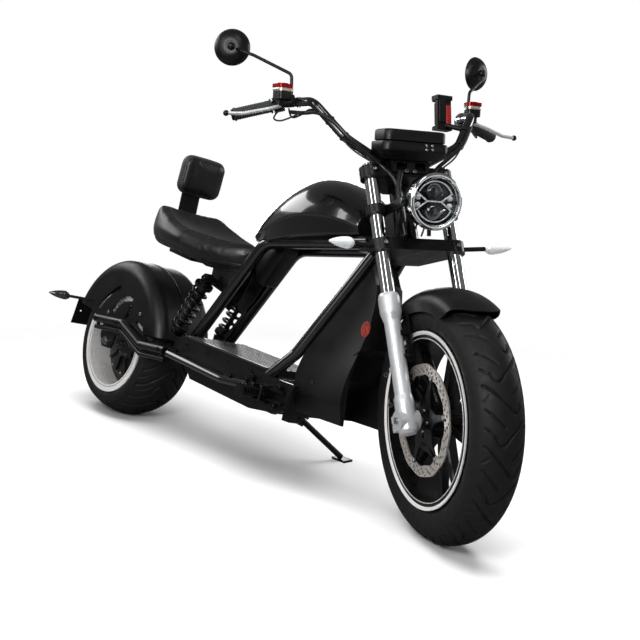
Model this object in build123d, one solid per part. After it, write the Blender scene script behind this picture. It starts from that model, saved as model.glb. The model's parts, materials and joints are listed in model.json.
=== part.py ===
from build123d import *
import os
from math import acos, atan2, cos, degrees, radians, sin, sqrt, tan

os.makedirs("parts", exist_ok=True)

# Electric chopper scooter, upright frame: x forward, y to the rider's left, z up, millimetres.
# The origin lies on the floor under the rear axle. The front end is drawn pointing straight
# ahead, then turned about the steering axis, and the whole bike leans on its side stand.

# Driving dimensions
wheel_base = 1450.0
lean = 12.0
rake = 28.0
steer = 22.0
axle_ahead = 48.0
fork_half = 104.0

rear_radius = 236.0
rear_half = 98.0
rear_crown = 150.0
rear_seat_radius = 152.4
rear_flange_radius = 170.0
rear_flange_half = 92.0

front_radius = 304.0
front_half = 64.0
front_crown = 68.0
front_seat_radius = 203.2
front_flange_radius = 218.0
front_flange_half = 54.0

running_gap = 0.3
flange_thick = 6.0

# Steering geometry
steer_u = Vector(-sin(radians(rake)), 0, cos(radians(rake)))
steer_n = Vector(cos(radians(rake)), 0, sin(radians(rake)))
front_axle_at = Vector(wheel_base, 0, front_radius)
rear_axle_at = Vector(0, 0, rear_radius)
steer_foot = front_axle_at - steer_n * axle_ahead
steer_axis = Axis(steer_foot, steer_u)


def on_axis(t, ahead=0.0, side=0.0):
    """Point at t along the steering axis, moved ahead of it and to one side."""
    return steer_foot + steer_u * t + steer_n * ahead + Vector(0, side, 0)


def fork_plane(t, ahead=0.0, side=0.0):
    """Plane square to the steering axis, with its x to the rider's left."""
    return Plane(origin=on_axis(t, ahead, side), x_dir=(0, 1, 0), z_dir=steer_u)


def rod(start, end, diameter):
    start = Vector(*start)
    end = Vector(*end)
    plane = Plane(origin=start, z_dir=end - start)
    return plane * Cylinder(diameter / 2, (end - start).length, align=(Align.CENTER, Align.CENTER, Align.MIN))


def pipe(points, radii, diameter, groove=0.0):
    """Round tube along a path, with a half-round groove down its left side if one is given."""
    path = FilletPolyline(*points, radius=radii)
    start = Plane(origin=path @ 0, x_dir=(0, 1, 0), z_dir=path % 0)
    section = Circle(diameter / 2)
    if groove > 0:
        section = section - Pos(diameter / 2, 0) * Circle(groove)
    return sweep(start * section, path=path)


def block(x0, x1, y0, y1, z0, z1, edge=0.0):
    solid = Pos((x0 + x1) / 2, (y0 + y1) / 2, (z0 + z1) / 2) * Box(x1 - x0, y1 - y0, z1 - z0)
    if edge > 0:
        solid = fillet(solid.edges(), edge)
    return solid


def side_plate(outline, y0, y1):
    """Flat shape drawn in side view as (x, z) points, standing between y0 and y1."""
    face = make_face(Polyline(*[(x, 0, z) for x, z in outline], close=True))
    return Pos(0, y1, 0) * extrude(face, y1 - y0, dir=(0, -1, 0))


def sideways(length):
    return Vector(0, length, 0)


def other_side(solid):
    return mirror(solid, about=Plane.XZ)


def pair(solid):
    """A left piece and its mirror image as two solids of one node."""
    return Compound(children=[largest(solid), other_side(largest(solid))])


def largest(shape):
    return max(shape.solids(), key=lambda piece: piece.volume)


def spun(profile, centre):
    """Wheel piece: profile drawn with x as radius and y along the axle."""
    return Pos(*centre) * revolve(profile, axis=Axis.Y)


chassis = {}
front_end = {}
front_wheel = {}
rear_wheel = {}
side_stand = {}


# Tyres
def tyre_face(outer, half, crown, seat, flange, flange_half):
    shoulder_y = half - 6
    shoulder_r = outer - crown + sqrt(crown**2 - shoulder_y**2)
    middle_r = (shoulder_r + flange) / 2
    edges = [
        Line((seat, -flange_half), (seat, flange_half)),
        Line((seat, flange_half), (flange, flange_half)),
        ThreePointArc((flange, flange_half), (middle_r, half), (shoulder_r, shoulder_y)),
        ThreePointArc((shoulder_r, shoulder_y), (outer, 0), (shoulder_r, -shoulder_y)),
        ThreePointArc((shoulder_r, -shoulder_y), (middle_r, -half), (flange, -flange_half)),
        Line((flange, -flange_half), (seat, -flange_half)),
    ]
    return make_face(edges)


rear_wheel["rear_tyre"] = spun(
    tyre_face(rear_radius, rear_half, rear_crown, rear_seat_radius, rear_flange_radius, rear_flange_half),
    rear_axle_at,
)
front_wheel["front_tyre"] = spun(
    tyre_face(
        front_radius, front_half, front_crown, front_seat_radius, front_flange_radius, front_flange_half
    ),
    front_axle_at,
)

# Rear wheel: deep lipped rim round a hub motor
barrel_wall = 6.0
motor_radius = 112.0
motor_half = 42.0
rear_axle_d = 22.0
web_half = 14.0
lip = flange_thick


def rim_face(seat, flange, flange_half, wall):
    """Rim section: bead seat, well and two upright flanges."""
    return make_face(
        Polyline(
            (seat - wall, -flange_half - lip),
            (flange, -flange_half - lip),
            (flange, -flange_half),
            (seat, -flange_half),
            (seat, flange_half),
            (flange, flange_half),
            (flange, flange_half + lip),
            (seat - wall, flange_half + lip),
            close=True,
        )
    )


rear_rim = spun(rim_face(rear_seat_radius, rear_flange_radius, rear_flange_half, barrel_wall), rear_axle_at)
rear_web = spun(
    make_face(
        Polyline(
            (motor_radius, -web_half),
            (motor_radius + 12, -web_half - 5),
            (rear_seat_radius - barrel_wall / 2, -web_half),
            (rear_seat_radius - barrel_wall / 2, web_half),
            (motor_radius + 12, web_half + 5),
            (motor_radius, web_half),
            close=True,
        )
    ),
    rear_axle_at,
)
rear_wheel["rear_rim"] = rear_rim + rear_web
motor = spun(
    make_face(
        Polyline(
            (rear_axle_d / 2 + running_gap, -motor_half - 14),
            (32, -motor_half - 14),
            (48, -motor_half),
            (motor_radius - 6, -motor_half),
            (motor_radius, -motor_half + 6),
            (motor_radius, motor_half - 6),
            (motor_radius - 6, motor_half),
            (48, motor_half),
            (32, motor_half + 14),
            (rear_axle_d / 2 + running_gap, motor_half + 14),
            close=True,
        )
    ),
    rear_axle_at,
)
motor_ribs = 10
rib_thick = 7.0
for side in (-1, 1):
    for rib in range(motor_ribs):
        bar = Pos((50 + motor_radius - 10) / 2, side * (motor_half + 3), 0)
        bar = bar * Box(motor_radius - 60, 8, rib_thick)
        motor = motor + Pos(*rear_axle_at) * Rot(0, rib * 360 / motor_ribs, 0) * bar
rear_wheel["hub_motor"] = motor

# Front wheel: cast rim on paired spokes, brake disc on the right
front_wall = 7.0
front_hub_radius = 44.0
front_hub_half = 50.0
front_axle_d = 17.0
spoke_pairs = 5
disc_radius = 138.0
disc_inner = 96.0
disc_y = -60.0
disc_thick = 4.0
disc_holes = 20
hub_end_radius = 20.0

hub = front_axle_at
front_rim = spun(rim_face(front_seat_radius, front_flange_radius, front_flange_half, front_wall), hub)
hub_solid = Pos(*hub) * Rot(90, 0, 0) * Cylinder(front_hub_radius, 2 * front_hub_half)
hub_ends = Pos(*hub) * Rot(90, 0, 0) * Cylinder(hub_end_radius, 2 * front_hub_half + 28)
spokes = []
spoke_inner = front_hub_radius - 6
spoke_outer = front_seat_radius - front_wall / 2
spoke_root = 26.0
spoke_tip = 17.0
spoke_half = 17.0
spoke_tip_half = 11.0
spoke_swing = 12.0
spoke_blade = [
    # distance from the axle, half width across, half depth along the axle
    (spoke_inner, spoke_root / 2, spoke_half),
    (spoke_outer, spoke_tip / 2, spoke_tip_half),
]
spoke_ends = []
for reach, half_width, half_depth in spoke_blade:
    end = Plane(origin=(reach, 0, 0), x_dir=(0, 1, 0), z_dir=(1, 0, 0))
    slope = half_width * 0.45
    outline = Polyline(
        (-half_depth, -half_width + slope),
        (-half_depth, half_width - slope),
        (-half_depth + slope, half_width),
        (half_depth - slope, half_width),
        (half_depth, half_width - slope),
        (half_depth, -half_width + slope),
        (half_depth - slope, -half_width),
        (-half_depth + slope, -half_width),
        close=True,
    )
    spoke_ends.append(end * make_face(outline))
spoke_solid = loft(spoke_ends, ruled=True)
for twin in range(spoke_pairs):
    for swing in (-spoke_swing, spoke_swing):
        spoke = Rot(0, twin * 360 / spoke_pairs + swing, 0) * spoke_solid
        spokes.append(Pos(*hub) * spoke)
front_cast = front_rim + hub_solid + hub_ends
for spoke in spokes:
    front_cast = front_cast + spoke
axle_bore = Pos(*hub) * Rot(90, 0, 0) * Cylinder(front_axle_d / 2 + running_gap, 300)
disc_seat_at = disc_y + disc_thick / 2
disc_flange = Pos(hub.X, (disc_seat_at - front_hub_half) / 2, hub.Z) * Rot(90, 0, 0)
front_cast = front_cast + disc_flange * Cylinder(36, -disc_seat_at - front_hub_half)
front_wheel["front_rim"] = front_cast - axle_bore

disc_plate = Rot(90, 0, 0) * (Cylinder(disc_radius, disc_thick) - Cylinder(disc_inner, disc_thick))
carrier = Rot(90, 0, 0) * Cylinder(36, disc_thick)
for arm in range(6):
    arm_bar = Pos((disc_inner + 34) / 2, 0, 0) * Box(disc_inner - 20, disc_thick, 12)
    carrier = carrier + Rot(0, arm * 60 + 15, 0) * arm_bar
disc = disc_plate + carrier
disc = disc - Rot(90, 0, 0) * Cylinder(hub_end_radius, 3 * disc_thick)
for row, hole_r in ((0, disc_radius - 12), (0.5, disc_inner + 12)):
    for hole in range(disc_holes):
        cutter = Rot(0, (hole + row) * 360 / disc_holes, 0) * Pos(hole_r, 0, 0) * Rot(90, 0, 0)
        disc = disc - cutter * Cylinder(5, 3 * disc_thick)
front_wheel["brake_disc"] = Pos(*hub) * Pos(0, disc_y, 0) * disc

# Fork
stanchion_d = 37.0
slider_d = 50.0
slider_top = 328.0
slider_low = -34.0
lower_clamp_t = 460.0
upper_clamp_t = 669.0
stanchion_top = upper_clamp_t + 26.0
clamp_thick = 32.0

axle_reach = Vector(0, fork_half + 32, 0)
front_end["front_axle"] = rod(hub - axle_reach, hub + axle_reach, front_axle_d)


def leg_cylinder(t_low, t_high, diameter):
    """Round piece on the left fork leg's own axis."""
    plane = fork_plane(t_low, axle_ahead, fork_half)
    return plane * Cylinder(diameter / 2, t_high - t_low, align=(Align.CENTER, Align.CENTER, Align.MIN))


slider_shape = (
    # radius, height along the leg
    (0, slider_low),
    (19, slider_low),
    (slider_d / 2, slider_low + 8),
    (slider_d / 2, 46),
    (slider_d / 2 - 4, 66),
    (slider_d / 2 - 4, slider_top - 76),
    (slider_d / 2 + 3, slider_top - 50),
    (slider_d / 2 + 3, slider_top - 10),
    (slider_d / 2 - 1, slider_top),
    (0, slider_top),
)
slider_side = make_face(Polyline(*[(r, 0, t) for r, t in slider_shape], close=True))
slider = fork_plane(0, axle_ahead, fork_half) * revolve(slider_side, axis=Axis.Z)
slider = slider + Pos(hub.X, fork_half, hub.Z) * Rot(90, 0, 0) * Cylinder(25, slider_d + 4)
pinch_at = hub - steer_n * 28 + Vector(0, fork_half, 0)
pinch = Plane(origin=pinch_at, x_dir=(0, 1, 0), z_dir=steer_n) * Box(slider_d - 8, 40, 26)
pinch_slit = Plane(origin=pinch_at, x_dir=(0, 1, 0), z_dir=steer_n) * Box(slider_d + 20, 4, 60)
slider = slider + pinch - pinch_slit
calliper_lugs = (62.0, 142.0)
for t in calliper_lugs:
    slider = slider + rod(on_axis(t, axle_ahead, fork_half), on_axis(t, axle_ahead - 40, fork_half), 17)
slider = slider - leg_cylinder(slider_top - 60, slider_top + 20, stanchion_d)
slider = slider - Pos(*hub) * Rot(90, 0, 0) * Cylinder(front_axle_d / 2, 400)
front_end["fork_sliders"] = pair(slider)
front_end["stanchions"] = pair(leg_cylinder(slider_top - 60, stanchion_top, stanchion_d))


def fork_clamp(t, reach):
    """Triple clamp: a bar across both legs, with a nose back to the stem."""
    plane = fork_plane(t)
    web = Polyline(
        (-fork_half, axle_ahead + 26),
        (fork_half, axle_ahead + 26),
        (fork_half, axle_ahead - 26),
        (38, -reach),
        (-38, -reach),
        (-fork_half, axle_ahead - 26),
        close=True,
    )
    flat = Plane(origin=plane.origin, x_dir=(0, 1, 0), z_dir=-steer_u)
    shape = extrude(flat * make_face(web), clamp_thick / 2, both=True)
    for side in (-1, 1):
        ear = fork_plane(t, axle_ahead, side * fork_half)
        shape = shape + ear * Cylinder(slider_d / 2 + 4, clamp_thick)
        shape = shape - ear * Cylinder(stanchion_d / 2, 2 * clamp_thick)
    return shape


stem_d = 28.0
stem = rod(on_axis(lower_clamp_t), on_axis(upper_clamp_t), stem_d)
front_end["lower_clamp"] = fork_clamp(lower_clamp_t, 30) + stem
front_end["upper_clamp"] = fork_clamp(upper_clamp_t, 30) - rod(
    on_axis(lower_clamp_t), on_axis(upper_clamp_t), stem_d
)

# Front fender on its brace
fender_r = 326.0
fender_half = 75.0
fender_skirt_r = 258.0
fender_wall = 3.0
fender_from = 58.0
fender_to = 128.0


def fender_arc(radius, half, skirt):
    crease_r = radius - 7
    crease_y = half - 20
    edge_r = radius - 38
    return [
        Line((skirt, -half), (edge_r, -half)),
        Line((edge_r, -half), (crease_r, -crease_y)),
        ThreePointArc((crease_r, -crease_y), (radius, 0), (crease_r, crease_y)),
        Line((crease_r, crease_y), (edge_r, half)),
        Line((edge_r, half), (skirt, half)),
    ]


def fender_face(radius, half, skirt):
    return make_face(fender_arc(radius, half, skirt) + [Line((skirt, half), (skirt, -half))])


outer_fender = fender_face(fender_r, fender_half, fender_skirt_r)
inner_fender = fender_face(fender_r - fender_wall, fender_half - fender_wall, fender_skirt_r)
fender_section = Rot(0, -fender_from, 0) * (outer_fender - inner_fender)
fender = Pos(*hub) * revolve(fender_section, axis=Axis.Y, revolution_arc=-(fender_to - fender_from))
brace_angle = 114.0
brace_low_r = 146.0
brace_bolts = (161.0, 221.0)
for side in (-1, 1):
    strip_mid = (brace_low_r + fender_skirt_r + 6) / 2
    strip = Rot(0, -brace_angle, 0) * Pos(strip_mid, side * (fender_half - 2), 0)
    fender = fender + Pos(*hub) * strip * Box(fender_skirt_r + 6 - brace_low_r, 4, 28)
    for radius in brace_bolts:
        spot = hub + Vector(radius * cos(radians(brace_angle)), 0, radius * sin(radians(brace_angle)))
        boss = rod(spot + sideways(side * (fender_half - 1)), spot + sideways(side * (fork_half - 8)), 16)
        fender = fender + boss
front_end["front_fender"] = fender - slider - other_side(slider)

# Brake calliper behind the right leg
calliper_angle = 150.0
calliper_r = 132.0
calliper = Rot(0, -calliper_angle, 0) * Pos(calliper_r, 0, 0) * Box(56, 44, 92)
calliper = fillet(calliper.edges(), 6)
for piston_turn in (-9, 9):
    piston = Rot(0, -calliper_angle + piston_turn, 0) * Pos(calliper_r, -24, 0) * Rot(90, 0, 0)
    calliper = calliper + piston * Cylinder(15, 8)
calliper = Pos(0, disc_y, 0) * calliper
calliper = calliper - Pos(0, disc_y, 0) * Rot(90, 0, 0) * Cylinder(disc_radius + 4, disc_thick + 6)
carrier_outline = [(1308, 330), (1404, 336), (1404, 388), (1366, 436), (1312, 428)]
calliper_carrier = side_plate(carrier_outline, disc_y - 29, disc_y - 21) - other_side(slider)
front_end["brake_calliper"] = largest(Pos(*hub) * calliper + calliper_carrier)

# Headlight on its ears
lamp_at = Vector(1321, 0, 833)
lamp_radius = 72.5
lamp_bowl = lamp_radius - 12.0
lamp_depth = 40.0
lamp_face = make_face(
    [
        Line((0, -96), (30, -96)),
        ThreePointArc((30, -96), (62, -60), (lamp_radius - 4, -20)),
        Line((lamp_radius - 4, -20), (lamp_radius, -16)),
        Line((lamp_radius, -16), (lamp_radius, -4)),
        ThreePointArc((lamp_radius, -4), (lamp_radius - 2.5, 2.5), (lamp_radius - 8, 4)),
        Line((lamp_radius - 8, 4), (lamp_bowl, -4)),
        ThreePointArc((lamp_bowl, -4), (lamp_bowl - 9, -26), (lamp_bowl - 28, -lamp_depth)),
        Line((lamp_bowl - 28, -lamp_depth), (0, -lamp_depth)),
        Line((0, -lamp_depth), (0, -96)),
    ]
)
projector_r = 21.0
projector_rise = 25.0
projector_len = 24.0
lamp = revolve(lamp_face, axis=Axis.Y)
for side in (-1, 1):
    mouth = Pos(0, -lamp_depth, side * projector_rise) * Rot(-90, 0, 0)
    tube = Cylinder(projector_r, projector_len, align=(Align.CENTER, Align.CENTER, Align.MIN))
    dome = Pos(0, 0, projector_len - 14) * Sphere(projector_r - 3)
    lamp = lamp + mouth * tube + mouth * dome
lamp_spar = 5.0
spar_runs = [((-20, 0), (20, 0))]
for x in (-1, 1):
    for z in (-1, 1):
        spar_runs.append(((x * 20, 0), (x * 50, z * 22)))
for start, end in spar_runs:
    run = Vector(*end) - Vector(*start)
    middle = (Vector(*end) + Vector(*start)) / 2
    spar = Pos(middle.X, -lamp_depth / 2 - 2, middle.Y) * Rot(0, -degrees(atan2(run.Y, run.X)), 0)
    lamp = lamp + spar * Box(run.length + lamp_spar, lamp_depth - 22, lamp_spar)
front_end["headlight_shell"] = Pos(*lamp_at) * Rot(0, 0, -90) * lamp
lamp_glass = Pos(0, -0.5, 0) * Rot(-90, 0, 0) * Cylinder(lamp_bowl - running_gap, 5)
front_end["headlight_lens"] = Pos(*lamp_at) * Rot(0, 0, -90) * lamp_glass

# Frame: two glossy main tubes, two down tubes, and the head they meet in
tube_d = 38.0
tube_half = 63.0
down_d = 34.0
head_d = 60.0
head_low_t = lower_clamp_t + clamp_thick / 2 + 3
head_high_t = upper_clamp_t - clamp_thick / 2 - 3
deck_rear_x = 410.0
deck_front_x = 885.0
deck_rear_z = 332.0
deck_slope = 0.055
deck_half = 120.0
box_half = 94.0
deck_thick = 6.0
rail_top = deck_thick + 12


def deck_z(x, below=0.0):
    """Height of the sloping deck at x, or of a level below it."""
    return deck_rear_z - deck_slope * (x - deck_rear_x) - below


main_points = [(1098, tube_half, 701), (660, tube_half, 656), (404, tube_half, 309)]
tube_groove = 3.5
main_tube = pipe(main_points, [95], tube_d, tube_groove)


def below_deck(x0, x1):
    """Everything under the deck's rails between x0 and x1."""
    return side_plate([(x0, 200), (x1, 200), (x1, deck_z(x1, rail_top)), (x0, deck_z(x0, rail_top))], 0, 200)


main_tube = main_tube - below_deck(300, 560)
chassis["frame_tubes"] = pair(main_tube)

down_points = [(1118, 50, 682), (934, 88, 368), (862, 108, 288)]
down_tube = pipe(down_points, [70], down_d)
down_tube = down_tube - below_deck(700, 1000)
chassis["down_tubes"] = pair(down_tube)

head_tube = rod(on_axis(head_low_t), on_axis(head_high_t), head_d)
head_bore = rod(on_axis(lower_clamp_t), on_axis(upper_clamp_t), stem_d + 2 * running_gap)
gusset = side_plate([(1058, 676), (1168, 700), (1120, 812), (1096, 812), (1058, 716)], -34, 34)
crossbar = side_plate([(1072, 672), (1112, 676), (1104, 716), (1064, 714)], -tube_half - 8, tube_half + 8)
head_clear = rod(on_axis(lower_clamp_t - 60), on_axis(head_low_t), 200)
head = head_tube + gusset + crossbar - head_bore - head_clear
for solid in (main_tube, other_side(main_tube), down_tube, other_side(down_tube)):
    head = head - solid
chassis["steering_head"] = head

# Deck: battery box, side panels, tread plate
box_outline = [
    (440, deck_z(440, rail_top)),
    (905, deck_z(905, rail_top)),
    (928, 262),
    (915, 190),
    (780, 178),
    (470, 201),
    (440, 235),
]
battery_box = side_plate(box_outline, -box_half, box_half)
chassis["battery_box"] = battery_box
panel_outline = [
    (deck_rear_x + 6, deck_z(deck_rear_x + 6, deck_thick)),
    (deck_front_x, deck_z(deck_front_x, deck_thick)),
    (deck_front_x + 4, 236),
    (deck_rear_x + 6, 266),
]
side_panel = side_plate(panel_outline, box_half, deck_half - 6)
side_panel = side_panel - down_tube
chassis["side_panels"] = pair(side_panel)
plate_outline = [
    (deck_rear_x + 30, deck_z(deck_rear_x + 30)),
    (deck_front_x - 30, deck_z(deck_front_x - 30)),
    (deck_front_x - 30, deck_z(deck_front_x - 30, deck_thick)),
    (deck_rear_x + 30, deck_z(deck_rear_x + 30, deck_thick)),
]
deck_plate = side_plate(plate_outline, -deck_half, deck_half)
filler_outline = [
    (deck_rear_x + 30, deck_z(deck_rear_x + 30, deck_thick)),
    (deck_front_x - 30, deck_z(deck_front_x - 30, deck_thick)),
    (deck_front_x - 30, deck_z(deck_front_x - 30, rail_top)),
    (deck_rear_x + 30, deck_z(deck_rear_x + 30, rail_top)),
]
deck_plate = deck_plate + side_plate(filler_outline, -box_half, box_half)
deck_ribs = 11
rib_pitch = 20.0
rib_height = 1.8
rib_outline = [
    (deck_rear_x + 36, deck_z(deck_rear_x + 36, -rib_height)),
    (deck_front_x - 36, deck_z(deck_front_x - 36, -rib_height)),
    (deck_front_x - 36, deck_z(deck_front_x - 36, 1)),
    (deck_rear_x + 36, deck_z(deck_rear_x + 36, 1)),
]
for rib in range(deck_ribs):
    rib_y = (rib - (deck_ribs - 1) / 2) * rib_pitch
    deck_plate = deck_plate + side_plate(rib_outline, rib_y - 2.5, rib_y + 2.5)
for solid in (main_tube, other_side(main_tube), down_tube, other_side(down_tube)):
    deck_plate = deck_plate - solid
chassis["deck_plate"] = deck_plate

# Front cover: a moulding that flares out to a cheek on each side of the wheel
cover_table = (
    # height, rear x, rear half width, middle dish, front x, front half width
    (212, 962, 74, 0, 1153, 78),
    (262, 952, 86, 3, 1145, 88),
    (340, 948, 86, 8, 1142, 82),
    (470, 1004, 72, 7, 1158, 60),
    (580, 1058, 60, 4, 1148, 50),
    (668, 1100, 50, 1, 1130, 42),
)
cover_sections = []
for z, rear_x, rear_w, dish, front_x, front_w in cover_table:
    mid_x = (rear_x + front_x) / 2
    mid_w = (rear_w + front_w) / 2 - dish - 0.5
    section = [
        ThreePointArc((rear_x, rear_w, z), (mid_x, mid_w, z), (front_x, front_w, z)),
        ThreePointArc((front_x, front_w, z), (front_x + 14, 0, z), (front_x, -front_w, z)),
        ThreePointArc((front_x, -front_w, z), (mid_x, -mid_w, z), (rear_x, -rear_w, z)),
        Line((rear_x, -rear_w, z), (rear_x, rear_w, z)),
    ]
    cover_sections.append(make_face(section))
cover = loft(cover_sections[:2], ruled=True) + loft(cover_sections[1:])
wheel_room = [(1040, 190), (1220, 190), (1220, 470), (1136, 400), (1120, 330), (1040, 285)]
cover = cover - side_plate(wheel_room, -70, 70)
for solid in (down_tube, other_side(down_tube), main_tube, other_side(main_tube), head_tube, head):
    cover = cover - solid
cover = largest(cover - head_clear)
chassis["front_cover"] = cover

# Tank cover over the main tubes
tank_table = (
    # x, half width, bottom z, crest z
    (594, 58, 652, 702),
    (690, 100, 656, 794),
    (850, 128, 684, 866),
    (980, 114, 702, 846),
    (1060, 84, 714, 792),
)
tank_sections = []
for x, half, low, crest in tank_table:
    face = make_face([
        Line((x, -half, low), (x, half, low)),
        ThreePointArc((x, half, low), (x, 0, crest), (x, -half, low)),
    ])
    tank_sections.append(face)
tank = loft(tank_sections)
for side in (-1, 1):
    shifted = [(x, side * y, z) for x, y, z in main_points]
    tank = tank - pipe(shifted, [95], tube_d + 1)
tank = tank - head
chassis["tank_cover"] = largest(tank)

# Seat, its pan, brackets and the backrest
seat_base = [(588, 566), (480, 558), (380, 562), (300, 582), (140, 598)]
seat_back = [(136, 700), (142, 728), (158, 733), (185, 706)]
seat_top = seat_back + [(240, 664), (350, 640), (470, 630), (560, 648), (586, 640)]
seat_table = (
    # x, half width
    (134, 90),
    (160, 125),
    (250, 150),
    (380, 140),
    (500, 100),
    (590, 42),
)
seat_plan = list(seat_table) + [(x, -half) for x, half in reversed(seat_table)]
seat = side_plate(seat_base + seat_top, -160, 160)
seat = seat & extrude(Pos(0, 0, 500) * make_face(Polyline(*seat_plan, close=True)), 400)
for side in (-1, 1):
    seat = seat - pipe([(x, side * y, z) for x, y, z in main_points], [95], tube_d + 2)
seat = largest(seat)
chassis["seat"] = seat
pan_thick = 10.0
pan_top = [(x, z - running_gap) for x, z in seat_base]
pan_low = [(x, z - pan_thick) for x, z in reversed(pan_top)]
seat_pan = side_plate(pan_top + pan_low, -58, 58)
chassis["seat_pan"] = seat_pan
bracket_outline = [(540, 470), (606, 556), (560, 562), (420, 562), (420, 500), (460, 490)]
bracket_plate = side_plate(bracket_outline, tube_half - 14, tube_half - 6)
seat_bracket = bracket_plate + other_side(bracket_plate) + rod((445, -100, 514), (445, 100, 514), 16)
for solid in (main_tube, other_side(main_tube)):
    seat_bracket = seat_bracket - solid
seat_bracket = largest(seat_bracket - seat_pan)
seat_pan = seat_pan - main_tube - other_side(main_tube)
chassis["seat_pan"] = seat_pan
chassis["seat_bracket"] = seat_bracket
strap_outline = [(126, 578), (132, 578), (132, 770), (141, 860), (135, 860), (126, 772)]
foot_outline = [(126, 576), (260, 558), (260, 576), (126, 594)]
strap = side_plate(strap_outline, -36, 36) + side_plate(foot_outline, -36, 36)
chassis["backrest_bracket"] = largest(strap - seat - seat_pan)
pad = Pos(167.2, 0, 836) * Rot(0, 5.7, 0) * Box(56, 165, 132)
chassis["backrest_pad"] = fillet(pad.edges(), 22)

# Swing arm with its outer guard tubes
pivot_at = (392, 262)
arm_y = 118.0
arm_thick = 8.0
guard_y = 150.0
guard_d = 26.0
arm_outline = [
    (410, 250),
    (410, 278),
    (250, 274),
    (122, 316),
    (-44, 308),
    (-50, 250),
    (-28, 214),
    (28, 214),
    (44, 262),
    (110, 270),
    (240, 236),
    (380, 238),
]
arm = side_plate(arm_outline, arm_y - arm_thick / 2, arm_y + arm_thick / 2)
guard_points = [(392, guard_y, 268), (249, guard_y, 261), (118, guard_y, 311), (-51, guard_y, 303)]
arm = arm + pipe(guard_points, [40, 40], guard_d)
under_y = guard_y - 6
under_drop = guard_d + 2
arm = arm + pipe([(x, under_y, z - under_drop) for x, y, z in guard_points], [40, 40], 16)
for x, z in ((372, 266), (100, 306), (-34, 300)):
    arm = arm + rod((x, arm_y, z), (x, guard_y, z), 18)
    arm = arm + rod((x, guard_y, z), (x, under_y, z - under_drop), 12)
swing_arm = arm + other_side(arm)
swing_arm = swing_arm + rod((pivot_at[0], -arm_y, pivot_at[1]), (pivot_at[0], arm_y, pivot_at[1]), 26)
swing_arm = swing_arm + rod((325, -arm_y, 262), (325, arm_y, 262), 32)
swing_arm = swing_arm - Pos(*rear_axle_at) * Rot(90, 0, 0) * Cylinder(rear_axle_d / 2, 400)
chassis["swing_arm"] = swing_arm
axle_stub_d = 16.0
axle_stub_len = 20.0
axle_face = arm_y + arm_thick / 2
axle_end = axle_face + axle_stub_len
rear_axle = rod((0, -axle_face, rear_radius), (0, axle_face, rear_radius), rear_axle_d)
rear_axle = rear_axle + rod((0, -axle_end, rear_radius), (0, axle_end, rear_radius), axle_stub_d)
chassis["rear_axle"] = rear_axle
pivot_outline = [(368, 236), (440, 236), (440, deck_z(440, rail_top)), (376, deck_z(376, rail_top))]
pivot_block = side_plate(pivot_outline, -box_half, box_half)
chassis["pivot_block"] = pivot_block - rod((392, -130, 262), (392, 130, 262), 26)

# Shock absorbers with open coil springs
shock_y = 86.0
shock_top = Vector(445, shock_y, 514)
shock_low = Vector(342, shock_y, 330)
shock_dir = (shock_top - shock_low).normalized()
shock_len = (shock_top - shock_low).length
shock_plane = Plane(origin=shock_low, z_dir=shock_dir)
shock = rod(shock_low + shock_dir * 14, shock_top - shock_dir * 14, 16)
shock = shock + rod(shock_top - shock_dir * 80, shock_top - shock_dir * 14, 34)
for eye in (shock_top, shock_low):
    ring = Pos(*eye) * Rot(90, 0, 0) * (Cylinder(15, 22) - Cylinder(8, 22))
    shock = shock + ring
coil_turns = 6
coil_r = 24.0
coil_wire = 9.0
coil_low = 26.0
coil_high = shock_len - 30.0
coil_pitch = (coil_high - coil_low) / coil_turns
coil_path = shock_plane.offset(coil_low) * Helix(coil_pitch, coil_high - coil_low, coil_r)
coil_section = Plane(origin=coil_path @ 0, z_dir=coil_path % 0) * Circle(coil_wire / 2)
coil = sweep(coil_section, path=coil_path, is_frenet=True)
standing = (Align.CENTER, Align.CENTER, Align.MIN)
for cap in (coil_low - 8, coil_high):
    shock = shock + shock_plane.offset(cap) * Cylinder(coil_r + 6, 8, align=standing)
shock = shock + coil
chassis["shocks"] = pair(shock - seat_bracket)
lug = side_plate([(322, 262), (362, 262), (356, 340), (330, 342)], shock_y - 18, shock_y - 12)
lug = lug + rod((342, shock_y - 18, 330), (342, shock_y + 12, 330), 16)
shock_lugs = lug + other_side(lug)
chassis["swing_arm"] = chassis["swing_arm"] + shock_lugs

# Rear fender, a half drum open underneath
rear_fender_r = 284.0
rear_fender_half = 112.0
rear_fender_wall = 3.0
rear_fender_floor = 294.0
shoulder = 46.0


def drum_face(radius, half, round_r):
    """Half section of the drum, from its flat face over the shoulder to the crown."""
    corner = round_r * (1 - cos(radians(45)))
    flat_r = radius - round_r
    crown_y = half - round_r
    return make_face([
        Line((0, -half), (flat_r, -half)),
        ThreePointArc((flat_r, -half), (radius - corner, -half + corner), (radius, -crown_y)),
        Line((radius, -crown_y), (radius, crown_y)),
        ThreePointArc((radius, crown_y), (radius - corner, half - corner), (flat_r, half)),
        Line((flat_r, half), (0, half)),
        Line((0, half), (0, -half)),
    ])


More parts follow.
